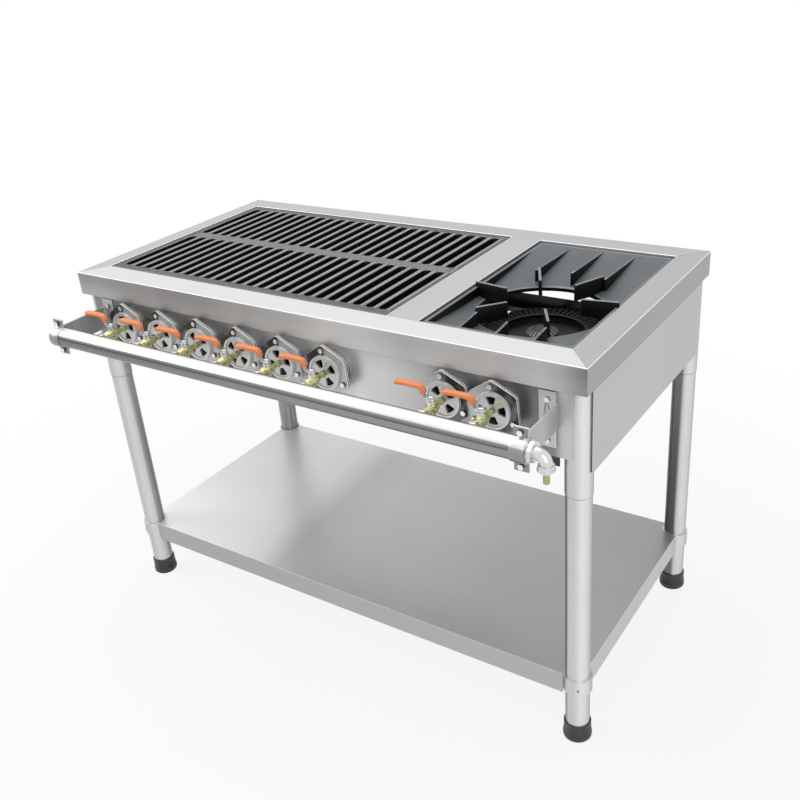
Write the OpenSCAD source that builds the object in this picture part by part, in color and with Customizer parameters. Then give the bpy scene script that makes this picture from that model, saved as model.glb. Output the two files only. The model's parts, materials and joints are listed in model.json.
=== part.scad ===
// Free-standing commercial gas range: a steel frame on four round legs, a long slotted
// cast-iron griddle grate on the left, one large open burner with a finned cast-iron pan
// support on the right, eight lever valves on a gas pipe along the front and a low shelf.
// Millimetres, Z up, the floor at Z = 0, the front with the valves towards -Y.

/* [Steel top] */
// width of the top, left to right
top_w = 1200; // [1190:1:1220]
// depth of the top, front to back
top_d = 600; // [596:1:612]
// height of the top above the floor
top_z = 810; // [800:1:830]
// height of the apron under the edge of the top
apron_h = 50; // [40:1:52]
// thickness of the top sheet
deck_t = 2; // [1.5:0.1:2.5]
// steel left of the grate opening
border_left = 40; // [36:1:44]
// steel in front of both openings
border_front = 60; // [58:1:62]
// width of the grate opening
grill_w = 740; // [736:1:744]
// depth of the grate opening
grill_d = 489; // [486:1:491]
// steel between the two openings
divider_w = 70; // [66:1:74]
// width of the pan support opening
hob_w = 298; // [294:1:302]
// depth of the pan support opening
hob_d = 487; // [484:1:490]
// height of the turned-down lip round each opening
lip_h = 9; // [6:1:12]

/* [Panels and frame] */
// thickness of the front panel
panel_t = 1; // [0.8:0.1:1.2]
// distance of the lower edge of the front panel below the top
panel_low = 177; // [170:1:182]
// thickness of the side panels
side_t = 1.5; // [1:0.1:2]
// distance of the lower edge of the side panels below the top
side_low = 203; // [198:1:210]
// how far the side panels reach in front of the front leg axes
side_front = 8.5; // [4:0.5:12]
// how far they end in front of the rear leg axes
side_back = 18; // [12:1:24]
// width of the fold along their lower edge
side_fold = 12; // [8:1:16]
// distance of the leg axis from the side of the top
leg_in_x = 28; // [28:0.5:30]
// distance of the leg axis from the front and back of the top
leg_in_y = 34; // [34:0.5:36]
// outside diameter of the sockets that take the legs
socket_d = 49.4; // [49.2:0.1:49.8]
// distance of the lower end of the sockets below the top
socket_low = 252; // [240:1:260]
// gap left round the sockets by the sheets beside them
socket_gap = 0.3; // [0.2:0.1:1]
// height of the angle rails between the sockets
rail_h = 18; // [14:1:18]
// thickness of the angle rails
rail_t = 3; // [2:0.5:4]

/* [Legs and feet] */
// outside diameter of the legs
leg_d = 47; // [46:0.2:48]
// wall of the leg tubes
leg_wall = 2; // [1.5:0.1:3]
// how far the legs reach up into the sockets
leg_insert = 80; // [60:5:100]
// height of the rubber feet
foot_h = 40; // [36:1:46]
// largest diameter of the rubber feet
foot_d = 56; // [54:0.5:56]
// rubber under the end of each leg
foot_floor = 4; // [3:0.5:6]

/* [Shelf] */
// how far the shelf reaches past the leg axes at each side
shelf_past_x = 11; // [8:0.5:12]
// how far the shelf reaches past the leg axes in front and behind
shelf_past_y = 14; // [12:0.5:16]
// height of the shelf surface above the floor
shelf_z = 153; // [130:1:180]
// height of the folded shelf edge
shelf_edge = 47; // [40:1:52]
// thickness of the shelf sheet
shelf_t = 1.5; // [1:0.1:2]
// outside diameter of the collars round the legs
collar_d = 55; // [54:0.5:56]
// height of the collars
collar_h = 33; // [28:1:36]
// diameter of the collar set screws
set_screw_d = 8; // [6:0.5:9]

/* [Grate] */
// gap between the grate and the opening
grate_gap = 4; // [3:0.5:5]
// thickness of the grate
grate_t = 20; // [16:1:24]
// how far the grate lies below the top
grate_drop = 1; // [0.5:0.5:3]
// number of slots in each of the two rows
slot_count = 24; // [20:1:24]
// distance between slots
slot_pitch = 29.8; // [29:0.1:30]
// width of a slot
slot_w = 20; // [18:0.2:21]
// solid strip along the front of the grate
strip_front = 20; // [16:1:24]
// solid strip along the back of the grate
strip_back = 15; // [12:1:20]
// width of the bar between the two rows
crossbar_w = 27; // [24:1:34]
// distance of that bar behind the middle of the top
crossbar_y = 13; // [5:1:20]
// height of the ledge plate under the grate above the box floor
box_h = 138; // [130:1:145]
// thickness of the box sheet
box_t = 1.5; // [1:0.1:2]
// width of the ledge that carries the grate
ledge_w = 14; // [10:1:16]

/* [Pan support] */
// gap between the pan support and the opening
plate_gap = 3; // [2:0.5:4]
// how far its rim lies below the top
plate_drop = 4; // [2:0.5:6]
// height of its rim
plate_rim_h = 24; // [22:1:26]
// thickness of its rim
plate_rim_t = 6; // [5:0.5:8]
// radius of the round opening
hole_r = 123; // [115:1:124]
// distance of the burner axis in front of the middle of the top
hole_front = 50; // [46:1:54]
// distance of the round opening in front of the burner axis
hole_shift = 4; // [0:0.5:6]
// how far the edge of the round opening lies below the rim
dish_drop = 21; // [16:1:21]
// radius at which the dish meets the level of the rim
dish_r = 235; // [220:5:250]
// thickness of the dish
dish_t = 5; // [4:0.5:6]
// radius left free between the tips of the side and rear fins
tip_r = 76; // [70:1:85]
// radius left free between the tips of the front fins
front_tip_r = 70; // [66:1:80]
// radius at which the two rear slanted fins end
fin_back_r = 144; // [138:1:150]
// radius at which the two front slanted fins end
fin_front_r = 132; // [130:1:136]
// backward turn of the two side fins
side_fin_turn = 5; // [0:1:10]
// angle of the rear right fin, its twin is its mirror image
rear_fin_turn = 62; // [56:1:66]
// angle of the front left fin
front_fin_left = 233; // [228:1:244]
// angle of the front right fin
front_fin_right = 301; // [296:1:306]
// distance of the rear middle rib from the burner axis
rear_rib_start = 130; // [126:1:140]
// distance of the front left rib from the burner axis
front_rib_left = 115; // [112:1:130]
// distance of the front middle rib from the burner axis
front_rib_middle = 134; // [130:1:140]
// distance of the front right rib from the burner axis
front_rib_right = 130; // [112:1:136]
// thickness of the fins
fin_t = 7; // [5:0.5:9]
// height of the fin tops above the steel top
fin_rise = 6; // [4:0.5:10]
// distance of the outer straight ribs from the middle rib
rib_pitch = 72; // [66:1:76]
// thickness of the straight ribs
rib_t = 6; // [4:0.5:8]
// height of the rib tops above the steel top
rib_rise = 2; // [0.5:0.5:3]

/* [Open burner] */
// outside radius of the slotted ring
ring_r = 115; // [110:1:118]
// inside radius of the slotted ring
ring_in_r = 80; // [76:1:84]
// thickness of the slotted ring
ring_t = 7; // [5:0.5:9]
// distance of the slotted ring below the top
ring_low = 68; // [64:1:72]
// number of gas slots in the ring
ring_slots = 56; // [40:1:64]
// width of a gas slot
ring_slot_w = 3.4; // [2.5:0.1:4]
// radius of the middle cap
cap_r = 31; // [28:1:34]
// number of gas slots in the middle cap
cap_slots = 24; // [16:1:30]
// distance of the burner rails from the burner axis
hob_rail_y = 170; // [165:1:172]
// height of the burner rails
hob_rail_h = 27; // [25:1:28]
// width of their lower flanges
hob_rail_w = 20; // [16:1:24]

/* [Burner mouths] */
// number of griddle burners
grill_burners_n = 6; // [6:1:6]
// distance between griddle burners
grill_pitch = 108; // [106:1:110]
// sideways shift of the griddle burner row
grill_shift = 8; // [0:1:12]
// left mouth of the open burner, measured from its axis
hob_mouth_left = 55; // [54:1:57]
// right mouth of the open burner, measured from its axis
hob_mouth_right = 41; // [41:0.5:43]
// distance of the burner axes below the top
burner_low = 99; // [96:1:102]
// outside radius of the necks in the front panel
neck_r = 37; // [35:0.5:38]
// inside radius of the necks
neck_in_r = 33; // [32:0.5:34]
// how far the flange plates stand in front of the front panel
flange_reach = 26.3; // [26:0.1:28]
// thickness of each flange plate
flange_t = 3; // [2.5:0.1:3.2]
// thickness of the gasket between the flange plates
gasket_t = 2; // [1.5:0.1:2.2]
// distance of the flange screws from the axis
flange_screw_r = 43; // [42:0.2:43.4]
// diameter of the flange screws
flange_screw_d = 5.2; // [4.8:0.1:5.4]
// gap round the flange screws in their holes
flange_hole_gap = 0.1; // [0.05:0.05:0.3]
// radius of the flange corners
flange_corner_r = 9.5; // [8.5:0.5:10]
// turn of the flanges
flange_turn = 5; // [0:1:8]
// outside radius of the raised ring
mouth_r = 34; // [33:0.5:35]
// inside radius of the raised ring
mouth_in_r = 30; // [29:0.5:31]
// height of the raised ring
mouth_h = 6; // [5:0.5:7]

/* [Air shutters] */
// gap between an air shutter and the raised ring
shutter_gap = 0.5; // [0.4:0.1:0.8]
// thickness of an air shutter
shutter_t = 1.6; // [1.2:0.1:2]
// inner radius of the air windows
window_in_r = 11; // [10:0.5:12]
// outer radius of the air windows
window_r = 26; // [24:0.5:27]
// angle of each air window
window_angle = 44; // [30:1:60]

/* [Gas pipe] */
// outside diameter of the gas pipe
pipe_d = 40; // [38:0.5:42]
// wall of the gas pipe
pipe_wall = 3; // [2:0.5:4]
// distance of the pipe axis in front of the steel top
pipe_y = 112; // [110:1:116]
// distance of the left end of the pipe from the side of the top
pipe_in_left = 40; // [39:0.5:41]
// distance of the right end of the pipe from the side of the top
pipe_in_right = 44; // [43.5:0.5:45]
// thickness of the left end cap
cap_t = 1.5; // [1:0.5:2]
// how far the end cap and the reducer reach into the pipe
plug_len = 10; // [8:1:14]
// width of the gap between the pipe and the hexagon of the reducer
reducer_gap = 1; // [1:0.5:2]
// length of the hexagon of the reducer
reducer_hex_len = 7; // [6:0.5:8]
// corner radius of that hexagon
reducer_hex_r = 19.5; // [18:0.5:19.5]
// straight part of the elbow in front of its bend
elbow_neck = 2; // [1:0.5:3]
// diameter of the thin elbow end
elbow_d = 21; // [20:0.5:22]
// bend radius of the elbow
elbow_bend = 17; // [16:0.5:17]
// diameter of the lower elbow socket
elbow_socket_d = 27; // [26:0.5:28]
// length of the hose nipple
nipple_len = 24; // [20:1:28]
// diameter of the hose nipple
nipple_d = 11; // [10:0.5:12]

/* [Pipe brackets] */
// distance of the bracket arms from the sides of the top
arm_in = 55; // [55:0.5:56]
// thickness of the bracket arms
arm_t = 3; // [2.5:0.1:3.4]
// height of the bracket arms
arm_h = 48; // [46:1:52]
// width of the bracket foot on the front panel
foot_plate_w = 31; // [28:1:34]
// height of the bracket foot
foot_plate_h = 103; // [98:1:108]
// width of the pipe straps
strap_w = 26; // [24:0.5:28]
// distance of the left edge of each strap from its bracket arm
strap_left = 16.5; // [15:0.5:18]
// thickness of the pipe straps
strap_t = 1.8; // [1.5:0.1:2]
// distance of the strap bolts above and below the pipe axis
strap_bolt_z = 30; // [29:0.5:31]
// diameter of the strap bolts
strap_bolt_d = 6; // [5:0.5:7]
// radius of the strap bolt heads and nuts
bolt_head_r = 5.6; // [5:0.1:6]
// height of the strap bolt heads
bolt_head_t = 4.5; // [3:0.5:5]
// height of the strap bolt nuts
bolt_nut_t = 5; // [4:0.5:6]
// gap between these nuts and the bracket arms
nut_gap = 0.3; // [0.2:0.1:0.8]
// how far the strap bolts stand out of their nuts
bolt_tail = 2.5; // [1:0.5:4]
// how far the flat ends of the straps reach past the pipe
strap_reach = 19; // [18:0.5:22]
// thickness of the flat ends of the straps
strap_flat_t = 2; // [1.5:0.5:2.5]
// thickness of the bracket lips behind the straps
arm_lip_t = 2.5; // [2:0.5:3]
// height of the upper bracket screws above the pipe axis
screw_up = 28; // [24:1:32]
// distance of the lower bracket screws below the pipe axis
screw_down = 48; // [44:1:50]
// diameter of the bracket screws
foot_screw_d = 5; // [4:0.5:6]
// diameter of the bracket screw heads
foot_screw_head = 9.6; // [8:0.2:11]
// how far the bracket feet lie below the pipe axis
foot_plate_drop = 8; // [4:1:12]

/* [Valves and levers] */
// distance of the valve stems in front of the steel top
stem_y = 56; // [55:0.5:57]
// radius of the valve bodies
valve_r = 9.5; // [9:0.5:11]
// how far the valve bodies reach behind their stems
valve_back = 16; // [14:0.5:18]
// how far the valve tips reach behind their stems
valve_tip = 24; // [22:0.5:26]
// smallest radius of the valve tips
valve_tip_r = 6.5; // [6:0.5:7]
// how far the hexagon of a valve body stands out of its round part
valve_hex_rise = 3.5; // [2:0.5:4]
// length of that hexagon in front of the pipe
valve_hex_len = 9; // [7:0.5:10]
// radius of the stem towers
tower_r = 8; // [7:0.5:8.5]
// radius of the stem housings below the axis
housing_r = 6.5; // [6:0.5:7.5]
// how far the stem housings reach below the axis
housing_low = 14; // [12:1:16]
// diameter of the valve stems
stem_d = 7; // [6:0.5:8]
// running gap between a stem and its lever
stem_gap = 0.06; // [0.03:0.01:0.09]
// height of the lever plates above the pipe axis
lever_z = 17.25; // [17:0.25:18]
// thickness of the lever plates
lever_t = 2.5; // [2:0.1:3]
// width of the lever plates
lever_w = 8; // [7:0.5:9]
// flat length from the stem to the bend
lever_flat = 15; // [14:0.5:16]
// length of the sloping part
lever_slope = 11; // [9:0.5:13]
// rise of the lever between its ends
lever_rise = 19.75; // [18:0.25:21]
// length of the lever from the stem to the grip tip
lever_len = 70; // [64:1:74]
// width of the grips
grip_w = 12; // [11:0.5:14]
// thickness of the grips
grip_t = 6; // [5:0.25:7]

/* [Hidden] */
$fn = 64;
big = 2000;
eps = 0.01;
pipe_r = pipe_d / 2;
pipe_left = top_w / 2 - pipe_in_left;
pipe_right = top_w / 2 - pipe_in_right;
arm_x = top_w / 2 - arm_in;
front_reach = top_d / 2 + pipe_y + pipe_r + 0.2 + strap_t;
frame_y = (front_reach - top_d / 2) / 2;
front_y = -top_d / 2;
leg_x = top_w / 2 - leg_in_x;
leg_y = top_d / 2 - leg_in_y;
leg_corners = [[-1, -1], [1, -1], [1, 1], [-1, 1]];
socket_r = socket_d / 2;
leg_r = leg_d / 2;
collar_r = collar_d / 2;
shelf_w = 2 * (leg_x + shelf_past_x);
shelf_d = 2 * (leg_y + shelf_past_y);
apron_z = top_z - apron_h;
under_z = top_z - deck_t;
socket_top = top_z - lip_h - 1;
socket_z = top_z - socket_low;
panel_z = top_z - panel_low;
side_z = top_z - side_low;
ring_z = top_z - ring_low;
burner_z = top_z - burner_low;
open_y0 = front_y + border_front;
grill_x0 = -top_w / 2 + border_left;
grill_x1 = grill_x0 + grill_w;
grill_y1 = open_y0 + grill_d;
hob_x0 = grill_x1 + divider_w;
hob_x1 = hob_x0 + hob_w;
hob_y1 = open_y0 + hob_d;
hob_x = (hob_x0 + hob_x1) / 2;
hob_y = -hole_front;
hole_y = hob_y - hole_shift;
panel_back = -leg_y - socket_r - 0.05;
panel_front = panel_back - panel_t;
flange_front = panel_front - flange_reach;
mouth_front = flange_front - mouth_h;
spider_t = 1.6;
shutter_y = flange_front - spider_t - 0.3;
injector_r = 5;
grill_mid = (grill_x0 + grill_x1) / 2 + grill_shift;
grill_xs = [for (i = [0 : grill_burners_n - 1]) grill_mid + (i - (grill_burners_n - 1) / 2) * grill_pitch];
hob_xs = [hob_x - hob_mouth_left, hob_x + hob_mouth_right];
mouth_xs = concat(grill_xs, hob_xs);
screw_turns = [for (i = [0 : 2]) 90 + i * 120 + flange_turn];
window_turns = [10, 22, 35, 48, 15, 28, 40, 5];
pipe_axis_y = front_y - pipe_y;
stem_axis_y = front_y - stem_y;
valve_back_y = pipe_axis_y + pipe_r;
lever_plate_z = burner_z + lever_z;
valve_tip_y = stem_axis_y + valve_tip;
screw_zs = [burner_z + screw_up, burner_z - screw_down];
grate_x0 = grill_x0 + grate_gap;
grate_x1 = grill_x1 - grate_gap;
grate_y0 = open_y0 + grate_gap;
grate_y1 = grill_y1 - grate_gap;
grate_top = top_z - grate_drop;
grate_z = grate_top - grate_t;
slot_x0 = (grate_x0 + grate_x1) / 2 - (slot_count - 1) / 2 * slot_pitch;
box_x0 = grill_x0 - 8;
box_x1 = grill_x1 + 8;
box_y0 = open_y0 - 8;
box_y1 = grill_y1 + 8;
box_z = grate_z - box_h;
plate_x0 = hob_x0 + plate_gap;
plate_x1 = hob_x1 - plate_gap;
plate_y0 = open_y0 + plate_gap;
plate_y1 = hob_y1 - plate_gap;
plate_top = top_z - plate_drop;
plate_z = plate_top - plate_rim_h;
hole_z = plate_top - dish_drop;
dish_slope = dish_drop / (dish_r - hole_r);
fin_top = top_z + fin_rise;
rib_top = top_z + rib_rise;
rail_top = ring_z - 5;
rail_low = rail_top - hob_rail_h;
body_top = ring_z - ring_t;
tube_r = 20;
hob_tube_r = 13;
elbow_x = pipe_right + reducer_gap + reducer_hex_len + elbow_neck;
steel = [0.78, 0.79, 0.8];
dark_iron = [0.32, 0.35, 0.36];
black_iron = [0.13, 0.13, 0.13];
brass = [0.75, 0.68, 0.36];

module in_frame() {
    translate([0, frame_y, 0]) children();
}

// a block given by its two opposite corners
module block(low, high) {
    translate(low) cube(high - low);
}

// a round bar along Y between two Y values
module bar_y(x, y0, y1, z, r) {
    translate([x, y1, z]) rotate([90, 0, 0]) cylinder(r = r, h = y1 - y0);
}

// a cone along Y, r0 at y0 and r1 at y1
module cone_y(x, y0, y1, z, r0, r1) {
    translate([x, y0, z]) rotate([-90, 0, 0]) cylinder(r1 = r0, r2 = r1, h = y1 - y0);
}

// a hexagon bar along Y
module hex_y(x, y0, y1, z, r) {
    translate([x, y1, z]) rotate([90, 0, 0]) cylinder(r = r, h = y1 - y0, $fn = 6);
}

// a round bar along X between two X values
module bar_x(x0, x1, y, z, r) {
    translate([x0, y, z]) rotate([0, 90, 0]) cylinder(r = r, h = x1 - x0);
}

// a round bar along Z between two heights
module post(x, y, z0, z1, r) {
    translate([x, y, z0]) cylinder(r = r, h = z1 - z0);
}

module at_legs() {
    for (c = leg_corners) translate([c[0] * leg_x, c[1] * leg_y, 0]) children();
}

// lip turned down round one opening, outside the opening edge
module opening_lip(x0, y0, x1, y1) {
    difference() {
        block([x0 - deck_t, y0 - deck_t, top_z - lip_h], [x1 + deck_t, y1 + deck_t, top_z]);
        block([x0, y0, top_z - lip_h - 1], [x1, y1, top_z + 1]);
    }
}

module top_deck() {
    color(steel) in_frame() {
        difference() {
            block([-top_w / 2, front_y, apron_z], [top_w / 2, -front_y, top_z]);
            block([-top_w / 2 + deck_t, front_y + deck_t, apron_z - 1], [top_w / 2 - deck_t, -front_y - deck_t, under_z]);
            block([grill_x0, open_y0, apron_z], [grill_x1, grill_y1, top_z + 1]);
            block([hob_x0, open_y0, apron_z], [hob_x1, hob_y1, top_z + 1]);
        }
        opening_lip(grill_x0, open_y0, grill_x1, grill_y1);
        opening_lip(hob_x0, open_y0, hob_x1, hob_y1);
    }
}

// room for the sockets, cut from what is fitted between them
module socket_room() {
    at_legs() post(0, 0, 0, socket_top + 0.3, socket_r + socket_gap);
}

module front_panel() {
    color(steel) in_frame() difference() {
        block([-leg_x, panel_front, panel_z], [leg_x, panel_back, under_z]);
        for (x = mouth_xs) bar_y(x, panel_front - 1, panel_back + 1, burner_z, neck_r + 0.5);
    }
}

module side_panel(side) {
    x = side * top_w / 2;
    y0 = -leg_y - side_front;
    y1 = leg_y - side_back;
    color(steel) in_frame() difference() {
        union() {
            block([min(x, x - side * side_t), y0, side_z], [max(x, x - side * side_t), y1, apron_z]);
            block([min(x, x - side * side_fold), y0, side_z], [max(x, x - side * side_fold), y1, side_z + side_t]);
        }
        socket_room();
    }
}

module side_panel_left() side_panel(-1);
module side_panel_right() side_panel(1);

module corner_sockets() {
    color(steel) in_frame() at_legs() difference() {
        post(0, 0, socket_z, socket_top, socket_r);
        post(0, 0, socket_z - 1, socket_top + 1, leg_r);
    }
}

module legs() {
    color(steel) in_frame() at_legs() difference() {
        post(0, 0, foot_floor, socket_z + leg_insert, leg_r);
        post(0, 0, foot_floor - 1, socket_z + leg_insert + 1, leg_r - leg_wall);
    }
}

// ribbed rubber foot, drawn as one turned profile
module feet() {
    r = foot_d / 2;
    color([0.12, 0.12, 0.12]) in_frame() at_legs() difference() {
        rotate_extrude() polygon([
            [0, 0], [r - 2.6, 0], [r - 0.4, 2.5], [r, 5], [r, 11], [r - 1, 13.5], [r - 2.2, 14.5],
            [r - 1.2, 16], [r - 1.2, 19], [r - 2.4, 20.5], [r - 1.4, 22], [r - 1.4, 25],
            [r - 2.4, 26.5], [r - 1.6, 28], [r - 1.6, foot_h - 2], [r - 2.6, foot_h], [0, foot_h]
        ]);
        post(0, 0, foot_floor, foot_h + 1, leg_r);
    }
}

module shelf() {
    color(steel) in_frame() difference() {
        block([-shelf_w / 2, -shelf_d / 2, shelf_z - shelf_edge], [shelf_w / 2, shelf_d / 2, shelf_z]);
        block(
            [-shelf_w / 2 + shelf_t, -shelf_d / 2 + shelf_t, shelf_z - shelf_edge - 1],
            [shelf_w / 2 - shelf_t, shelf_d / 2 - shelf_t, shelf_z - shelf_t]
        );
        at_legs() post(0, 0, 0, shelf_z + 1, collar_r);
    }
}

module shelf_collars() {
    color(steel) in_frame() for (c = leg_corners) translate([c[0] * leg_x, c[1] * leg_y, 0]) difference() {
        post(0, 0, shelf_z - collar_h, shelf_z, collar_r);
        post(0, 0, shelf_z - collar_h - 1, shelf_z + 1, leg_r);
        rotate([0, 0, c[0] * c[1] < 0 ? 25 : -25]) screw_line(c[1], set_screw_d / 2, leg_r - 1, collar_r + 5);
    }
}

// the axis of a collar set screw, pointing out to the front or the back
module screw_line(side, r, from, to) {
    z = shelf_z - collar_h * 0.6;
    if (side < 0) bar_y(0, -to, -from, z, r);
    if (side > 0) bar_y(0, from, to, z, r);
}

module collar_screws() {
    color(steel) in_frame() for (c = leg_corners) translate([c[0] * leg_x, c[1] * leg_y, 0])
        rotate([0, 0, c[0] * c[1] < 0 ? 25 : -25]) difference() {
            screw_line(c[1], set_screw_d / 2, leg_r, collar_r + 0.3);
            screw_line(c[1], set_screw_d / 4, collar_r - 2, collar_r + 5);
            post(0, 0, 0, shelf_z, leg_r);
        }
}

// angle rail between two sockets: upright web outside, flange inside at the top
module cross_rail(side) {
    color(black_iron) in_frame() {
        y = side * (leg_y + socket_r);
        y_in = side * (leg_y + 2);
        x = leg_x - socket_r - 0.1;
        block([-x, min(y, y - side * rail_t), panel_z - rail_h], [x, max(y, y - side * rail_t), panel_z]);
        block([-x, min(y, y_in), panel_z - rail_t], [x, max(y, y_in), panel_z]);
    }
}

module front_rail() cross_rail(-1);
module rear_rail() cross_rail(1);

// two angle bars that carry the open burner, flanges towards it
module hob_rails() {
    x0 = box_x1 + 0.1;
    x1 = top_w / 2 - side_t - 0.1;
    color(black_iron) in_frame() difference() {
        for (side = [-1, 1]) {
            y = hob_y + side * hob_rail_y;
            y_in = y - side * hob_rail_w;
            block([x0, min(y, y + side * rail_t), rail_low], [x1, max(y, y + side * rail_t), rail_top]);
            block([x0, min(y, y_in), rail_low], [x1, max(y, y_in), rail_low + rail_t]);
        }
        for (x = hob_xs) bar_y(x, front_y, hob_y, burner_z, hob_tube_r + 0.5);
    }
}

// frame under the deck that the pan support rests on
module hob_ledge() {
    color(black_iron) in_frame() difference() {
        block([hob_x0 - 6, open_y0 - 6, plate_z - 3], [hob_x1 + 6, hob_y1 + 6, under_z]);
        block([hob_x0 - 3, open_y0 - 3, plate_z], [hob_x1 + 3, hob_y1 + 3, top_z]);
        block(
            [hob_x0 + ledge_w, open_y0 + ledge_w, plate_z - 4],
            [hob_x1 - ledge_w, hob_y1 - ledge_w, top_z]
        );
        socket_room();
    }
}

// sheet box under the grate, with a ledge for the grate and holes for the burner tubes
module fire_box() {
    color(black_iron) in_frame() {
        difference() {
            block([box_x0, box_y0, box_z], [box_x1, box_y1, under_z]);
            block([box_x0 + box_t, box_y0 + box_t, box_z + box_t], [box_x1 - box_t, box_y1 - box_t, top_z]);
            for (x = grill_xs) bar_y(x, box_y0 - 1, box_y0 + box_t + 1, burner_z, tube_r + 0.3);
            socket_room();
        }
        difference() {
            block([box_x0 + box_t, box_y0 + box_t, grate_z - 2], [box_x1 - box_t, box_y1 - box_t, grate_z]);
            socket_room();
            block(
                [box_x0 + 8 + ledge_w, box_y0 + 8 + ledge_w, grate_z - 3],
                [box_x1 - 8 - ledge_w, box_y1 - 8 - ledge_w, grate_z + 1]
            );
        }
    }
}

// one slot with round ends, along Y
module slot(x, y0, y1) {
    block([x - slot_w / 2, y0 + slot_w / 2, grate_z - 1], [x + slot_w / 2, y1 - slot_w / 2, grate_top + 1]);
    post(x, y0 + slot_w / 2, grate_z - 1, grate_top + 1, slot_w / 2);
    post(x, y1 - slot_w / 2, grate_z - 1, grate_top + 1, slot_w / 2);
}

module grate() {
    color(dark_iron) in_frame() difference() {
        block([grate_x0, grate_y0, grate_z], [grate_x1, grate_y1, grate_top]);
        for (i = [0 : slot_count - 1]) {
            slot(slot_x0 + i * slot_pitch, grate_y0 + strip_front, crossbar_y - crossbar_w / 2);
            slot(slot_x0 + i * slot_pitch, crossbar_y + crossbar_w / 2, grate_y1 - strip_back);
        }
    }
}

// the dish: sheet of even thickness between the rim walls, with the round opening
module dish() {
    h = dish_drop + 40;
    intersection() {
        block([plate_x0 + 1, plate_y0 + 1, plate_z], [plate_x1 - 1, plate_y1 - 1, plate_top - 1]);
        difference() {
            block([plate_x0, plate_y0, plate_z - 10], [plate_x1, plate_y1, plate_top]);
            post(hob_x, hole_y, plate_z - 20, hole_z + eps, hole_r);
            translate([hob_x, hole_y, hole_z]) cylinder(r1 = hole_r, r2 = hole_r + h / dish_slope, h = h);
            difference() {
                block([plate_x0 - 1, plate_y0 - 1, -big], [plate_x1 + 1, plate_y1 + 1, plate_top]);
                translate([hob_x, hole_y, hole_z - dish_t]) cylinder(r1 = hole_r, r2 = hole_r + h / dish_slope, h = h);
                post(hob_x, hole_y, hole_z - dish_t - 1, plate_top, hole_r + 0.5);
            }
        }
    }
}

// one upright fin that points at the burner axis
module fin(turn, inner_r, outer_r) {
    translate([hob_x, hob_y, 0]) rotate([0, 0, turn])
        block([inner_r, -fin_t / 2, plate_z], [outer_r, fin_t / 2, fin_top]);
}

// one straight rib from the rim towards the opening
module rib(side, from_y, to_y) {
    x = hob_x + side * rib_pitch;
    block([x - rib_t / 2, min(from_y, to_y), hole_z - 1], [x + rib_t / 2, max(from_y, to_y), rib_top]);
}

module hob_plate() {
    side_end = (plate_x1 - plate_x0) / 2 - 1;
    color(dark_iron) in_frame() {
        difference() {
            block([plate_x0, plate_y0, plate_z], [plate_x1, plate_y1, plate_top]);
            block(
                [plate_x0 + plate_rim_t, plate_y0 + plate_rim_t, plate_z - 1],
                [plate_x1 - plate_rim_t, plate_y1 - plate_rim_t, plate_top + 1]
            );
        }
        dish();
        // fins, sideways and slanted
        for (turn = [side_fin_turn, 180 - side_fin_turn]) fin(turn, tip_r, side_end);
        for (turn = [rear_fin_turn, 180 - rear_fin_turn]) fin(turn, tip_r, fin_back_r);
        for (turn = [front_fin_left, front_fin_right]) fin(turn, front_tip_r, fin_front_r);
        // ribs, the outer two at the back run into the slanted fins
        for (side = [-1, 1]) rib(side, hob_y + fin_back_r * sin(rear_fin_turn) - 8, plate_y1 - 2);
        rib(0, hob_y + rear_rib_start, plate_y1 - 2);
        rib(-1, hob_y - front_rib_left, plate_y0 + 2);
        rib(0, hob_y - front_rib_middle, plate_y0 + 2);
        rib(1, hob_y - front_rib_right, plate_y0 + 2);
    }
}

// flanged ring chamber, middle chamber, two gas tubes and the arms that rest on the rails
module burner_body() {
    low = rail_low + rail_t;
    color(black_iron) in_frame() difference() {
        union() {
            post(hob_x, hob_y, low, body_top, ring_r - 1);
            post(hob_x, hob_y, low - 14, body_top, cap_r - 4);
            for (side = [-1, 1]) block(
                [hob_x + side * 34 - 7, hob_y - hob_rail_y + 2, low],
                [hob_x + side * 34 + 7, hob_y + hob_rail_y - 2, low + 8]
            );
            bar_y(hob_xs[0], panel_back, hob_y - 70, burner_z, hob_tube_r);
            bar_y(hob_xs[1], panel_back, hob_y, burner_z, hob_tube_r);
            for (x = hob_xs) {
                bar_y(x, flange_front + 2 * flange_t + gasket_t, panel_back + 6, burner_z, neck_r);
                cone_y(x, panel_back + 6, panel_back + 26, burner_z, neck_r - 1, hob_tube_r);
            }
        }
        // gap between the ring chamber and the middle chamber
        difference() {
            post(hob_x, hob_y, low + 12, body_top + 1, ring_in_r + 4);
            post(hob_x, hob_y, low, body_top + 2, cap_r - 4);
        }
        // gas space of the ring
        difference() {
            post(hob_x, hob_y, low + 14, body_top + 1, ring_r - 6);
            post(hob_x, hob_y, low, body_top + 2, ring_in_r + 8);
        }
        post(hob_x, hob_y, low - 10, body_top + 1, cap_r - 8);
        bar_y(hob_xs[0], panel_back + 20, hob_y - 74, burner_z, hob_tube_r - 3);
        bar_y(hob_xs[1], panel_back + 20, hob_y - 6, burner_z, hob_tube_r - 3);
        for (x = hob_xs) {
            bar_y(x, flange_front, panel_back + 4, burner_z, neck_in_r);
            cone_y(x, panel_back + 4 - eps, panel_back + 24, burner_z, neck_in_r, hob_tube_r - 3);
        }
    }
}

module burner_ring() {
    color(black_iron) in_frame() difference() {
        post(hob_x, hob_y, body_top, ring_z, ring_r);
        post(hob_x, hob_y, body_top - 1, ring_z + 1, ring_in_r);
        for (i = [0 : ring_slots - 1]) translate([hob_x, hob_y, 0]) rotate([0, 0, (i + 0.5) * 360 / ring_slots])
            block([ring_in_r + 5, -ring_slot_w / 2, ring_z - 4], [ring_r + 1, ring_slot_w / 2, ring_z + 1]);
    }
}

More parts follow.
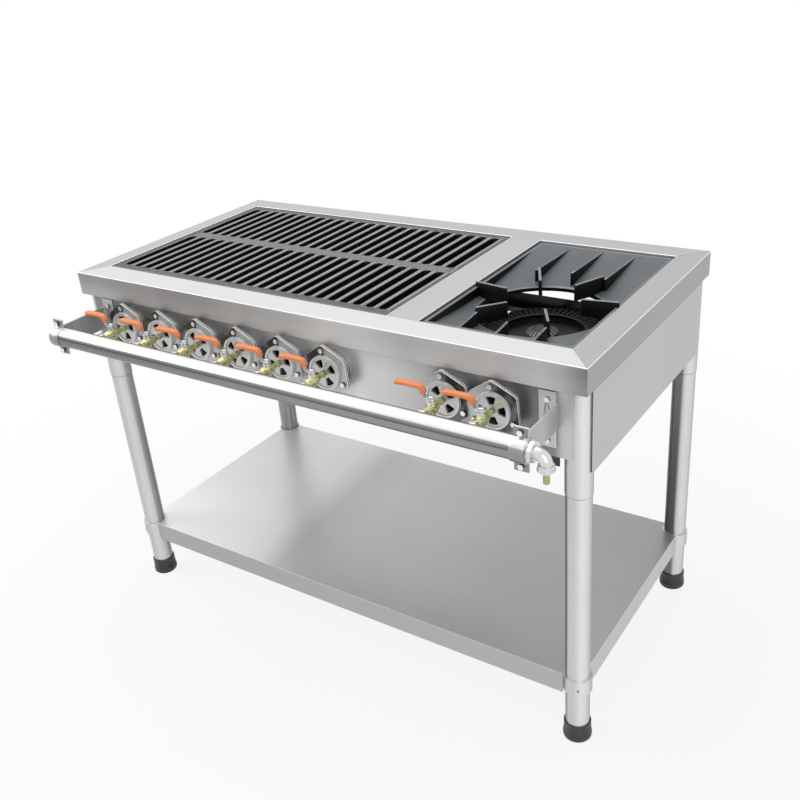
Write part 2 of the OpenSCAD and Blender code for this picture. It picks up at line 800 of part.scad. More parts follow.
module burner_cap() {
    color(steel) in_frame() difference() {
        union() {
            post(hob_x, hob_y, body_top, body_top + 5, cap_r);
            translate([hob_x, hob_y, body_top + 5]) cylinder(r1 = cap_r, r2 = cap_r - 12, h = 7);
        }
        for (i = [0 : cap_slots - 1]) translate([hob_x, hob_y, 0]) rotate([0, 0, i * 360 / cap_slots])
            block([13, -0.9, body_top + 3], [cap_r + 1, 0.9, body_top + 13]);
        post(hob_x, hob_y, body_top - 1, body_top + 3, cap_r - 8);
    }
}

// six straight burners with a wide neck, a tapering throat and gas holes on top
module grill_burners() {
    color(black_iron) in_frame() for (x = grill_xs) difference() {
        union() {
            bar_y(x, flange_front + 2 * flange_t + gasket_t, panel_back + 6, burner_z, neck_r);
            cone_y(x, panel_back + 6, box_y0 - 10, burner_z, neck_r - 1, tube_r);
            bar_y(x, box_y0 - 10, box_y1 - 30, burner_z, tube_r);
        }
        bar_y(x, flange_front, panel_back + 4, burner_z, neck_in_r);
        cone_y(x, panel_back + 4 - eps, box_y0 - 12, burner_z, neck_in_r, tube_r - 3);
        bar_y(x, box_y0 - 12 - eps, box_y1 - 33, burner_z, tube_r - 3);
        for (i = [0 : 13]) post(x, box_y0 + 40 + i * 30, burner_z, burner_z + 30, 2.5);
    }
}

// flat outline of a flange: a hexagon with round corners, every other one holds a screw
module flange_outline() {
    turns = [for (i = [0 : 5]) i * 60 + flange_turn];
    spots = [for (a = turns) flange_screw_r * [cos(90 + a), sin(90 + a)]];
    function off(i, a) = spots[i] + flange_corner_r * [cos(a + turns[i]), sin(a + turns[i])];
    for (p = spots) translate(p) circle(r = flange_corner_r);
    polygon([for (i = [0 : 5]) for (a = [60, 120]) off(i, a)]);
}

// a flat shape standing upright at a mouth, from y0 towards the back
module upright(x, y0, t) {
    translate([x, y0 + t, burner_z]) rotate([90, 0, 0]) linear_extrude(height = t) children();
}

module flange_plate(k, y0, t) {
    upright(mouth_xs[k], y0, t) difference() {
        flange_outline();
        circle(r = neck_in_r);
        for (a = screw_turns) rotate(a) translate([flange_screw_r, 0]) circle(r = flange_screw_d / 2 + flange_hole_gap);
    }
}

// four wedge windows between two radii
module windows_outline(turn) {
    for (i = [0 : 3]) rotate(turn + i * 90) intersection() {
        difference() {
            circle(r = window_r);
            circle(r = window_in_r);
        }
        polygon([[0, 0], 60 * [cos(window_angle / 2), -sin(window_angle / 2)], 60 * [cos(window_angle / 2), sin(window_angle / 2)]]);
    }
}

module mouth_flanges() {
    color([0.6, 0.61, 0.63]) in_frame() for (k = [0 : len(mouth_xs) - 1]) {
        x = mouth_xs[k];
        flange_plate(k, flange_front, flange_t);
        flange_plate(k, flange_front + flange_t + gasket_t, flange_t);
        // raised ring and the fixed spider behind the shutter
        difference() {
            bar_y(x, mouth_front, flange_front, burner_z, mouth_r);
            bar_y(x, mouth_front - 1, flange_front + 1, burner_z, mouth_in_r);
        }
        upright(x, flange_front - spider_t, spider_t) difference() {
            circle(r = mouth_in_r);
            circle(r = window_in_r - 2);
            windows_outline(window_turns[k]);
        }
    }
}

module mouth_gaskets() {
    color([0.2, 0.2, 0.2]) in_frame() for (k = [0 : len(mouth_xs) - 1])
        flange_plate(k, flange_front + flange_t, gasket_t);
}

module flange_screws() {
    color(steel) in_frame() for (mouth_x = mouth_xs) for (a = screw_turns) {
        x = mouth_x + flange_screw_r * cos(a);
        z = burner_z + flange_screw_r * sin(a);
        hex_y(x, flange_front - 4, flange_front, z, 5.4);
        bar_y(x, flange_front, flange_front + 2 * flange_t + gasket_t + 1, z, flange_screw_d / 2);
        hex_y(x, flange_front + 2 * flange_t + gasket_t, flange_front + 2 * flange_t + gasket_t + 4, z, 4.6);
    }
}

module air_shutter(k) {
    color([0.7, 0.71, 0.73]) in_frame() {
        upright(mouth_xs[k], shutter_y - shutter_t, shutter_t) difference() {
            circle(r = mouth_in_r - shutter_gap);
            circle(r = injector_r + stem_gap);
            windows_outline(window_turns[k]);
        }
        // small turning tab
        upright(mouth_xs[k], shutter_y - shutter_t - 5, 5 + eps) intersection() {
            circle(r = mouth_in_r - 1);
            rotate(window_turns[k] + 45) translate([window_in_r + 3, -1]) square([9, 2]);
        }
    }
}

module injectors() {
    color(brass) in_frame() for (x = mouth_xs) difference() {
        union() {
            hex_y(x, valve_tip_y, valve_tip_y + 6, burner_z, 7);
            bar_y(x, valve_tip_y + 6, flange_front + 10, burner_z, injector_r);
        }
        bar_y(x, valve_tip_y - 1, flange_front + 11, burner_z, 1.2);
    }
}

module valve_bodies() {
    color([0.72, 0.72, 0.7]) in_frame() for (x = mouth_xs) difference() {
        union() {
            bar_y(x, pipe_axis_y, stem_axis_y + valve_back, burner_z, valve_r);
            hex_y(x, valve_back_y - 1, valve_back_y + valve_hex_len, burner_z, valve_r + valve_hex_rise);
            cone_y(x, stem_axis_y + valve_back - eps, valve_tip_y, burner_z, valve_r, valve_tip_r);
            post(x, stem_axis_y, burner_z, lever_plate_z - lever_t / 2 - 0.3, tower_r);
            post(x, stem_axis_y, burner_z, lever_plate_z + lever_t / 2 + 2, stem_d / 2);
            post(x, stem_axis_y, burner_z - housing_low, burner_z, housing_r);
        }
        bar_x(x - 2 * valve_r, x + 2 * valve_r, pipe_axis_y, burner_z, pipe_r);
        bar_y(x, pipe_axis_y, valve_tip_y + 1, burner_z, 2);
    }
}

// side outline of a lever, leaving the stem to the left and bending up
module lever_outline(t, from, to) {
    z1 = lever_plate_z;
    z2 = lever_plate_z + lever_rise;
    u1 = lever_flat;
    u2 = lever_flat + lever_slope;
    m = t / 2 * tan(atan2(lever_rise, lever_slope) / 2);
    polygon([
        [-from, z1 + t / 2], [-(u1 - m), z1 + t / 2], [-(u2 - m), z2 + t / 2], [-to, z2 + t / 2],
        [-to, z2 - t / 2], [-(u2 + m), z2 - t / 2], [-(u1 + m), z1 - t / 2], [-from, z1 - t / 2]
    ]);
}

module lever(k) {
    color([0.75, 0.75, 0.74]) in_frame() translate([mouth_xs[k], stem_axis_y, 0]) difference() {
        union() {
            translate([0, lever_w / 2, 0]) rotate([90, 0, 0]) linear_extrude(height = lever_w)
                lever_outline(lever_t, 0, lever_len - 6);
            post(0, 0, lever_plate_z - lever_t / 2, lever_plate_z + lever_t / 2, 7.5);
            translate([0, 0, lever_plate_z + lever_t / 2]) cylinder(r = 6.2, h = 4.5, $fn = 6);
        }
        post(0, 0, lever_plate_z - lever_t, lever_plate_z + lever_t / 2 + 2.5, stem_d / 2 + stem_gap);
    }
}

module grip(k) {
    color([0.95, 0.5, 0.28]) in_frame() translate([mouth_xs[k], stem_axis_y, 0]) difference() {
        translate([0, grip_w / 2, 0]) rotate([90, 0, 0]) linear_extrude(height = grip_w)
            lever_outline(grip_t, lever_flat - 3, lever_len);
        translate([0, lever_w / 2, 0]) rotate([90, 0, 0]) linear_extrude(height = lever_w)
            lever_outline(lever_t, 0, lever_len - 6);
    }
}

module manifold_pipe() {
    color(steel) in_frame() difference() {
        bar_x(-pipe_left, pipe_right, pipe_axis_y, burner_z, pipe_r);
        bar_x(-pipe_left - 1, pipe_right + 1, pipe_axis_y, burner_z, pipe_r - pipe_wall);
        for (x = mouth_xs) bar_y(x, pipe_axis_y, valve_back_y + 1, burner_z, 2);
    }
}

module end_plug() {
    color(steel) in_frame() {
        bar_x(-pipe_left, -pipe_left + plug_len, pipe_axis_y, burner_z, pipe_r - pipe_wall);
        bar_x(-pipe_left - cap_t, -pipe_left, pipe_axis_y, burner_z, pipe_r);
    }
}

module reducer() {
    hex_x = pipe_right + reducer_gap;
    color(steel) in_frame() difference() {
        union() {
            bar_x(pipe_right - plug_len, hex_x, pipe_axis_y, burner_z, pipe_r - pipe_wall);
            translate([hex_x, pipe_axis_y, burner_z]) rotate([0, 90, 0])
                cylinder(r = reducer_hex_r, h = reducer_hex_len, $fn = 6);
        }
        bar_x(pipe_right - plug_len - 1, hex_x + reducer_hex_len + 1, pipe_axis_y, burner_z, elbow_d / 2 - 3);
    }
}

// street elbow: thin end to the pipe, bend, wider socket pointing down
module elbow() {
    z0 = burner_z - elbow_bend;
    color([0.66, 0.67, 0.68]) in_frame() translate([elbow_x, pipe_axis_y, 0]) difference() {
        union() {
            bar_x(-elbow_neck, 0, 0, burner_z, elbow_d / 2);
            translate([0, 0, z0]) rotate([90, 0, 0]) rotate_extrude(angle = 90) translate([elbow_bend, 0]) circle(r = elbow_d / 2);
            post(elbow_bend, 0, z0 - 10, z0, elbow_socket_d / 2);
            post(elbow_bend, 0, z0 - 10, z0 - 6, elbow_socket_d / 2 + 1.4);
        }
        bar_x(-elbow_neck - 1, 0, 0, burner_z, elbow_d / 2 - 3);
        translate([0, 0, z0]) rotate([90, 0, 0]) rotate_extrude(angle = 90) translate([elbow_bend, 0]) circle(r = elbow_d / 2 - 3);
        post(elbow_bend, 0, z0 - 11, z0 + eps, elbow_d / 2 - 3);
    }
}

module hose_nipple() {
    z0 = burner_z - elbow_bend - 10;
    color(brass) in_frame() translate([elbow_x + elbow_bend, pipe_axis_y, 0]) difference() {
        union() {
            post(0, 0, z0, z0 + 7, elbow_d / 2 - 3);
            translate([0, 0, z0 - 5]) cylinder(r = 9, h = 5, $fn = 6);
            post(0, 0, z0 - nipple_len, z0 - 5, nipple_d / 2 - 1);
            for (i = [0 : 3]) translate([0, 0, z0 - nipple_len + i * 4.4])
                cylinder(r1 = nipple_d / 2 - 0.9, r2 = nipple_d / 2, h = 3.6);
        }
        post(0, 0, z0 - nipple_len - 1, z0 + 8, nipple_d / 2 - 2.5);
    }
}

// arm plate with a saddle behind the pipe, foot plate on the panel, two lips for the bolts
module bracket(side) {
    x = side * arm_x;
    foot_x0 = side > 0 ? x - arm_t / 2 - foot_plate_w : x + arm_t / 2;
    foot_z = burner_z - foot_plate_drop;
    strap_x0 = x - strap_left;
    nut_y = pipe_axis_y + arm_lip_t;
    color(steel) in_frame() difference() {
        union() {
            block([x - arm_t / 2, pipe_axis_y, burner_z - arm_h / 2], [x + arm_t / 2, panel_front, burner_z + arm_h / 2]);
            block(
                [foot_x0, panel_front - arm_t, foot_z - foot_plate_h / 2],
                [foot_x0 + foot_plate_w, panel_front, foot_z + foot_plate_h / 2]
            );
            for (s = [-1, 1]) block(
                [strap_x0, pipe_axis_y, burner_z + (s > 0 ? pipe_r - 2 : -pipe_r - strap_reach)],
                [strap_x0 + strap_w, pipe_axis_y + arm_lip_t, burner_z + (s > 0 ? pipe_r + strap_reach : -pipe_r + 2)]
            );
        }
        bar_x(x - strap_w, x + strap_w, pipe_axis_y, burner_z, pipe_r);
        for (s = [-1, 1]) strap_bolt_hole(strap_x0 + strap_w / 2, s);
        // room for the nuts beside the arm
        for (s = [-1, 1]) translate([0, 0, burner_z + s * strap_bolt_z]) block(
            [strap_x0 - 1, nut_y, -bolt_head_r - nut_gap],
            [strap_x0 + strap_w + 1, nut_y + bolt_nut_t + bolt_tail + 1, bolt_head_r + nut_gap]
        );
        for (z = screw_zs) bar_y(foot_x0 + foot_plate_w / 2, panel_front - arm_t - 1, panel_front + 1, z, foot_screw_d / 2);
    }
}

module bracket_left() bracket(-1);
module bracket_right() bracket(1);

// the hole of one strap bolt through strap and bracket
module strap_bolt_hole(x, s) {
    bar_y(x, pipe_axis_y - strap_flat_t - 1, pipe_axis_y + arm_lip_t + 1, burner_z + s * strap_bolt_z, strap_bolt_d / 2);
}

module pipe_clamps() {
    strap_r = pipe_r + 0.2 + strap_t;
    color(steel) in_frame() for (side = [-1, 1]) {
        strap_x0 = side * arm_x - strap_left;
        strap_x1 = strap_x0 + strap_w;
        difference() {
            union() {
                difference() {
                    bar_x(strap_x0, strap_x1, pipe_axis_y, burner_z, strap_r);
                    block(
                        [strap_x0 - 1, pipe_axis_y, burner_z - strap_r - 1],
                        [strap_x1 + 1, pipe_axis_y + strap_r + 1, burner_z + strap_r + 1]
                    );
                }
                block(
                    [strap_x0, pipe_axis_y - strap_flat_t, burner_z - pipe_r - strap_reach],
                    [strap_x1, pipe_axis_y, burner_z + pipe_r + strap_reach]
                );
            }
            bar_x(strap_x0 - 1, strap_x1 + 1, pipe_axis_y, burner_z, pipe_r);
            for (s = [-1, 1]) strap_bolt_hole(strap_x0 + strap_w / 2, s);
        }
    }
}

module clamp_bolts() {
    color(steel) in_frame() for (side = [-1, 1]) for (s = [-1, 1]) {
        x = side * arm_x - strap_left + strap_w / 2;
        z = burner_z + s * strap_bolt_z;
        y0 = pipe_axis_y - strap_flat_t;
        y1 = pipe_axis_y + arm_lip_t;
        hex_y(x, y0 - bolt_head_t, y0, z, bolt_head_r);
        bar_y(x, y0, y1 + bolt_nut_t + bolt_tail, z, strap_bolt_d / 2);
        hex_y(x, y1, y1 + bolt_nut_t, z, bolt_head_r);
    }
}

module bracket_screws() {
    color(steel) in_frame() for (side = [-1, 1]) for (z = screw_zs) {
        x = side * (arm_x - arm_t / 2 - foot_plate_w / 2);
        bar_y(x, panel_front - arm_t, panel_front, z, foot_screw_d / 2);
        bar_y(x, panel_front - arm_t - foot_screw_d / 2, panel_front - arm_t, z, foot_screw_head / 2);
    }
}

top_deck();
front_panel();
side_panel_left();
side_panel_right();
corner_sockets();
legs();
feet();
shelf();
shelf_collars();
collar_screws();
front_rail();
rear_rail();
hob_rails();
hob_ledge();
fire_box();
grate();
hob_plate();
burner_body();
burner_ring();
burner_cap();
grill_burners();
mouth_flanges();
mouth_gaskets();
flange_screws();
injectors();
valve_bodies();
manifold_pipe();
end_plug();
reducer();
elbow();
hose_nipple();
bracket_left();
bracket_right();
pipe_clamps();
clamp_bolts();
bracket_screws();
air_shutter(0);  // air_shutter_1
air_shutter(1);  // air_shutter_2
air_shutter(2);  // air_shutter_3
air_shutter(3);  // air_shutter_4
air_shutter(4);  // air_shutter_5
air_shutter(5);  // air_shutter_6
air_shutter(6);  // air_shutter_7
air_shutter(7);  // air_shutter_8
lever(0);  // lever_1
lever(1);  // lever_2
lever(2);  // lever_3
lever(3);  // lever_4
lever(4);  // lever_5
lever(5);  // lever_6
lever(6);  // lever_7
lever(7);  // lever_8
grip(0);  // grip_1
grip(1);  // grip_2
grip(2);  // grip_3
grip(3);  // grip_4
grip(4);  // grip_5
grip(5);  // grip_6
grip(6);  // grip_7
grip(7);  // grip_8
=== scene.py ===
import json
import math

import bpy
from mathutils import Matrix, Vector


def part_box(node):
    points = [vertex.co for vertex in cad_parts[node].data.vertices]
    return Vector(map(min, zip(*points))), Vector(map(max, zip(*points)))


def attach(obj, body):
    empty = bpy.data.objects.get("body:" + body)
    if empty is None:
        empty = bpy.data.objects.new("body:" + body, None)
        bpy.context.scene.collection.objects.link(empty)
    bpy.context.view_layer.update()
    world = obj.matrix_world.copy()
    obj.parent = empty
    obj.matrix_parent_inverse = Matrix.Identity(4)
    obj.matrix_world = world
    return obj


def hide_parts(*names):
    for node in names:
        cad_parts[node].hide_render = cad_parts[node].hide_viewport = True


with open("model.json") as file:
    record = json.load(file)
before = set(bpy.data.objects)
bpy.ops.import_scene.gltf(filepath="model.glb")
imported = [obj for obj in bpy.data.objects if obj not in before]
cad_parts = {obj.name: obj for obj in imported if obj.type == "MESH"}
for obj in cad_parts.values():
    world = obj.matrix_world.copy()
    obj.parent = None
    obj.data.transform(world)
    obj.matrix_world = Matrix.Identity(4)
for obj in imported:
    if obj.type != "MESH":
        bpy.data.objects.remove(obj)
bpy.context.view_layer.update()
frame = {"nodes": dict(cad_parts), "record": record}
print("frame loaded")

nodes = frame["nodes"]
# main places of the part, in the shared frame
shiftY = 0.067  # the middle of the top lies this far behind the origin
top = dict(halfWidth=0.600, front=-0.300 + shiftY, back=0.300 + shiftY, z=0.810, apron=0.760)
grateOpening = dict(x0=-0.560, x1=0.180, y0=-0.240 + shiftY, y1=0.249 + shiftY)
hobOpening = dict(x0=0.250, x1=0.548, y0=-0.240 + shiftY, y1=0.247 + shiftY)
burner = dict(x=0.399, y=-0.050 + shiftY)
mouth = dict(
    z=0.711, pitch=0.108, grillMiddle=-0.182, grillCount=6, grillEnd=0.2, hobShifts=(-0.055, 0.041),
    flangeFront=-0.31805 + shiftY, flangeBack=-0.31005 + shiftY, panelFront=-0.29175 + shiftY,
)
fromMiddle = [k - (mouth["grillCount"] - 1) / 2 for k in range(mouth["grillCount"])]
mouthXs = [mouth["grillMiddle"] + steps * mouth["pitch"] for steps in fromMiddle]
mouthXs += [burner["x"] + shift for shift in mouth["hobShifts"]]


class Wire:
    # one output socket, so that shader maths reads as a sum
    def __init__(self, finish, socket):
        self.finish = finish
        self.socket = socket

    def calc(self, operation, a, b):
        return self.finish.node("ShaderNodeMath", {"operation": operation}, {0: a, 1: b})

    def __add__(self, other):
        return self.calc("ADD", self, other)

    def __sub__(self, other):
        return self.calc("SUBTRACT", self, other)

    def __rsub__(self, other):
        return self.calc("SUBTRACT", other, self)

    def __mul__(self, other):
        return self.calc("MULTIPLY", self, other)

    def __truediv__(self, other):
        return self.calc("DIVIDE", self, other)

    def __pow__(self, other):
        return self.calc("POWER", self, other)

    def __gt__(self, other):
        return self.calc("GREATER_THAN", self, other)

    def __lt__(self, other):
        return self.calc("LESS_THAN", self, other)

    def __abs__(self):
        return self.calc("ABSOLUTE", self, None)

    __radd__ = __add__
    __rmul__ = __mul__


scratches = dict(along=3, fine=700, broad=190)  # per metre, along the grain and across it
slopes = dict(flat=0.95, upright=0.25, side=0.5)  # parts of a normal that tell flat, upright and side skins
seamWidth = 0.0009  # from the middle of a drawn seam to its edge


class Finish:
    # one material, built round a Principled shader
    def __init__(self, name, **fixed):
        self.material = bpy.data.materials.new(name)
        self.material.use_nodes = True
        self.tree = self.material.node_tree
        self.shader = self.tree.nodes["Principled BSDF"]
        for socket, value in fixed.items():
            self.shader.inputs[socket.replace("_", " ")].default_value = value

    def node(self, kind, settings, inputs, output=0):
        made = self.tree.nodes.new(kind)
        for key, value in settings.items():
            if key == "stops":
                ramp = made.color_ramp.elements
                for place, level in value[1:-1]:
                    ramp.new(place)
                for element, (place, level) in zip(ramp, value):
                    element.color = (level, level, level, 1)
            else:
                setattr(made, key, value)
        for key, value in inputs.items():
            if isinstance(value, Wire):
                self.tree.links.new(value.socket, made.inputs[key])
            elif value is not None:
                made.inputs[key].default_value = value
        return Wire(self, made.outputs[output])

    def place(self, scale=(1, 1, 1), move=(0, 0, 0)):
        spot = self.node("ShaderNodeTexCoord", {}, {}, "Object")
        return self.node("ShaderNodeMapping", {}, {"Vector": spot, "Scale": scale, "Location": move})

    def split(self, vector):
        parts = self.node("ShaderNodeSeparateXYZ", {}, {0: vector}).socket.node
        return [Wire(self, socket) for socket in parts.outputs]

    def spot(self):
        return self.split(self.node("ShaderNodeTexCoord", {}, {}, "Object"))

    def facing(self, output="True Normal"):
        return self.split(self.node("ShaderNodeNewGeometry", {}, {}, output))

    def rise(self, value, low, high):
        # 0 at low, 1 at high, smooth between them
        ends = {0: value, 1: low, 2: high, 3: 0.0, 4: 1.0}
        return self.node("ShaderNodeMapRange", {"interpolation_type": "SMOOTHSTEP"}, ends)

    def wrap(self, value, half):
        # how far right of the nearest line of a row a point lies, the lines stand twice half apart
        return self.node("ShaderNodeMath", {"operation": "WRAP"}, {0: value, 1: half, 2: -half})

    def larger(self, a, b):
        return a.calc("MAXIMUM", a, b)

    def seam(self, gap, slope):
        # 1 on a thin line where gap is nought, slope is how fast gap grows per metre
        return abs(gap) < slope * seamWidth

    def ramp(self, value, half, stops):
        # the stops are spread from -half to half
        return self.node("ShaderNodeValToRGB", {"stops": stops}, {0: (value + half) / (2 * half)})

    def noise(self, scale, at, detail=4.0, rough=0.55):
        inputs = {"Vector": at, "Scale": scale, "Detail": detail, "Roughness": rough}
        return self.node("ShaderNodeTexNoise", {}, inputs)

    def cloud(self, scale, move, stretch=(1, 1, 1)):
        # wide soft patches
        return self.noise(scale, self.place(stretch, move), 2.0, 0.5)

    def sand(self):
        # the grain of a casting
        return self.noise(620.0, self.place(), 5.0, 0.65)

    def brush(self, grain):
        # fine and broader parallel scratches along one axis
        layers = []
        for across, detail in (("fine", 2.0), ("broad", 3.0)):
            scale = [scratches["along" if axis == grain else across] for axis in "xyz"]
            layers.append(self.noise(1.0, self.place(scale=scale), detail, 0.6) * 0.5)
        return layers[0] + layers[1]

    def blend(self, factor, a, b):
        return self.node("ShaderNodeMix", {"data_type": "RGBA"}, {"Factor": factor, 6: rgba(a), 7: rgba(b)}, 2)

    def bump(self, height, strength, distance):
        return self.node("ShaderNodeBump", {}, {"Strength": strength, "Distance": distance, "Height": height})

    def wire(self, **links):
        for socket, value in links.items():
            self.tree.links.new(value.socket, self.shader.inputs[socket.replace("_", " ")])


def rgba(colour):
    if isinstance(colour, Wire):
        return colour
    if isinstance(colour, (int, float)):
        return (colour, colour, colour * 1.005, 1.0)
    return (colour[0], colour[1], colour[2], 1.0)


def greyOf(f, tone, tint=(1, 1, 1.01)):
    return f.blend(tone, (0, 0, 0), tint)


def mottled(tone, first, second, shares):
    # the tone made uneven by two patterns, the last share is what both leave even
    return tone * (first * shares[0] + second * shares[1] + shares[2])


def grained(tone, grain, share):
    # paler and darker by up to half the share
    return tone * (grain * share + (1.0 - share / 2))


def skinned(f, look, colour, grain, height=None):
    # colour, gloss that follows the grain, and relief
    f.wire(
        Base_Color=colour,
        Roughness=grain * look["roughSpread"] + look["rough"],
        Normal=f.bump(grain if height is None else height, look["bump"], look["depth"]),
    )
    return f.material


def bySlope(nz):
    # masks of the flat, slanted and upright skins of a folded sheet
    return nz > slopes["flat"], (nz > slopes["upright"]) * (nz < slopes["flat"]), nz < slopes["upright"]


def bothInside(a, b):
    # only inside the strips, not across the openings
    return (a < 1.0) * (b < 1.0)


finishes = {}

# the strip, edge and apron tones below paint light, shade and reflections into the steel's colour
deckLook = dict(
    metal=0.55, rough=0.30, roughSpread=0.16, bump=0.08, depth=0.0004,
    paintedLightTones=dict(front=0.70, rear=0.48, left=0.50, right=0.44, divider=0.50, edge=0.95, apronSide=0.37, apronBack=0.42),
    apron=[(0.0, 0.27), (0.25, 0.30), (0.42, 0.37), (0.5, 0.47), (0.57, 0.62), (0.64, 0.62), (0.72, 0.50),
           (0.84, 0.50), (0.93, 0.54), (0.965, 0.44), (1.0, 0.22)],
    apronFade=0.008, apronLowLight=0.12, apronReflections=0.20, apronReflectionStretch=(5.5, 2.0, 0.8),
    seams=dict(left=25, right=22, front=17, back=19), seamDark=0.35, seamDepth=1.5,
    cloudScale=2.6, shares=(0.16, 0.10, 0.87),
)


def deckSteel(name, look):
    # one sheet folded from five strips, each brushed along its own length
    f = Finish(name, Metallic=look["metal"])
    x, y, z = f.spot()
    nx, ny, nz = f.facing()
    # distance from each outer edge, as a share of the strip there
    fromLeft = (x + top["halfWidth"]) / (top["halfWidth"] + grateOpening["x0"])
    fromRight = (top["halfWidth"] - x) / (top["halfWidth"] - hobOpening["x1"])
    fromFront = (y - top["front"]) / (grateOpening["y0"] - top["front"])
    fromBack = (top["back"] - y) / (top["back"] - hobOpening["y1"])
    left = (fromLeft < fromFront) * (fromLeft < fromBack) * (fromLeft < 1.0)
    right = (fromRight < fromFront) * (fromRight < fromBack) * (fromRight < 1.0)
    front = (fromFront < 1.0) * (1.0 - left) * (1.0 - right)
    rear = (fromBack < 1.0) * (1.0 - left) * (1.0 - right)
    divider = 1.0 - left - right - front - rear
    flat, edge, upright = bySlope(nz)
    side = abs(nx) > slopes["side"]
    lengthwise = f.larger(left + right + divider, side)
    grain = f.brush("x") * (1.0 - lengthwise) + f.brush("y") * lengthwise
    # each strip's tone paints the sheen its brushing direction shows, the edge tone paints a highlight and the apron's
    # end and back tones paint shade
    paintedLightTones = look["paintedLightTones"]
    deck = front * paintedLightTones["front"] + rear * paintedLightTones["rear"] + divider * paintedLightTones["divider"]
    deck = deck + left * paintedLightTones["left"] + right * paintedLightTones["right"]
    # painted light and shade along the front apron, a little paler low down, with painted reflections in soft upright
    # bands
    along = f.ramp(x, top["halfWidth"], look["apron"])
    reflectionCloud = f.cloud(1.0, (1.3, 0.2, 0.5), look["apronReflectionStretch"])
    low = f.rise(z, top["z"] - look["apronFade"], top["apron"] + look["apronFade"])
    apron = (ny < -slopes["side"]) * (along + low * look["apronLowLight"] + (reflectionCloud - 0.5) * look["apronReflections"])
    apron = apron + side * paintedLightTones["apronSide"] + (ny > slopes["side"]) * paintedLightTones["apronBack"]
    # mitres at the corners, and butt seams at the ends of the divider
    seams = look["seams"]
    mitre = f.seam(fromLeft - fromFront, seams["left"]) * bothInside(fromLeft, fromFront)
    mitre = mitre + f.seam(fromLeft - fromBack, seams["left"]) * bothInside(fromLeft, fromBack)
    mitre = mitre + f.seam(fromRight - fromFront, seams["right"]) * bothInside(fromRight, fromFront)
    mitre = mitre + f.seam(fromRight - fromBack, seams["right"]) * bothInside(fromRight, fromBack)
    butt = (x > grateOpening["x1"]) * (x < hobOpening["x0"])
    mitre = mitre + (f.seam(fromFront - 1.0, seams["front"]) + f.seam(fromBack - 1.0, seams["back"])) * butt
    cloud = f.cloud(look["cloudScale"], (3.1, 1.7, 0.4))
    # painted highlight on the bevelled edges, painted light and shade on the upright apron
    tone = flat * deck * (1.0 - mitre * look["seamDark"]) + edge * paintedLightTones["edge"] + upright * apron
    tone = mottled(tone, grain, cloud, look["shares"])
    return skinned(f, look, greyOf(f, tone), grain, grain - mitre * look["seamDepth"])


finishes["deck_steel"] = deckSteel("deck_steel", deckLook)

sheetBase = dict(metal=0.6, rough=0.30, roughSpread=0.18, depth=0.0004, edge=0.8, shares=(0.18, 0.12, 0.85))
# the stops paint light and shade along X, on the panel a dark step by the bracket and a pale stretch past it
sheetLooks = {
    "panel_steel": dict(
        sheetBase, grain="x", bump=0.08, cloudScale=3.0, reflectionScale=(6.0, 1.0, 0.6), reflectionBands=0.18,
        stops=[(0.0, 0.25), (0.3, 0.33), (0.48, 0.54), (0.62, 0.72), (0.75, 0.52), (0.93, 0.23), (0.950, 0.28),
               (0.962, 0.62), (1.0, 0.64)]),
    "side_steel": dict(
        sheetBase, grain="y", bump=0.07, cloudScale=2.0, reflectionScale=(1.0, 4.0, 0.8), reflectionBands=0.10,
        stops=[(0.0, 0.50), (0.5, 0.50), (1.0, 0.54)]),
    "bracket_steel": dict(
        sheetBase, grain="z", rough=0.26, bump=0.06, cloudScale=12.0, reflectionScale=(20.0, 30.0, 8.0), reflectionBands=0.30,
        edge=0.9, stops=[(0.0, 0.50), (0.5, 0.55), (1.0, 0.58)]),
}


def sheetSteel(name, look):
    # flat sheet: scratches, a painted slope of light and shade along X, painted reflections in soft upright bands and
    # painted highlights on the cut edges
    f = Finish(name, Metallic=look["metal"])
    grain = f.brush(look["grain"])
    cloud = f.cloud(look["cloudScale"], (3.1, 1.7, 0.4))
    reflectionCloud = f.cloud(1.0, (2.3, 0.7, 0.1), look["reflectionScale"])
    tone = f.ramp(f.spot()[0], top["halfWidth"], look["stops"]) + (reflectionCloud - 0.5) * look["reflectionBands"]
    nx, ny, nz = f.facing()
    # painted highlight on the bevelled edges
    edge = (abs(nx) < slopes["flat"]) * (abs(ny) < slopes["flat"]) * (abs(nz) < slopes["flat"])
    tone = tone * (1.0 - edge) + edge * look["edge"]
    return skinned(f, look, greyOf(f, mottled(tone, grain, cloud, look["shares"])), grain)


for name, look in sheetLooks.items():
    finishes[name] = sheetSteel(name, look)

shelfLook = dict(
    metal=0.5, rough=0.26, roughSpread=0.16, bump=0.06, depth=0.0004,
    lean=0.09, waver=0.10, waveStretch=(2.2, 1.4, 1.0), grain=0.12,
    rear=dict(start=0.06, stop=0.34, paintedShade=0.15), front=dict(start=-0.22, stop=0.10, paler=0.30),
    frontEdge=0.44, frontEdgeRise=0.06, sideEdge=0.60, edge=0.9,
    stops=[(0.0, 0.80), (0.22, 0.90), (0.29, 0.84), (0.36, 0.62), (0.45, 0.66), (0.60, 0.62), (0.75, 0.54),
           (0.88, 0.50), (1.0, 0.48)],
)


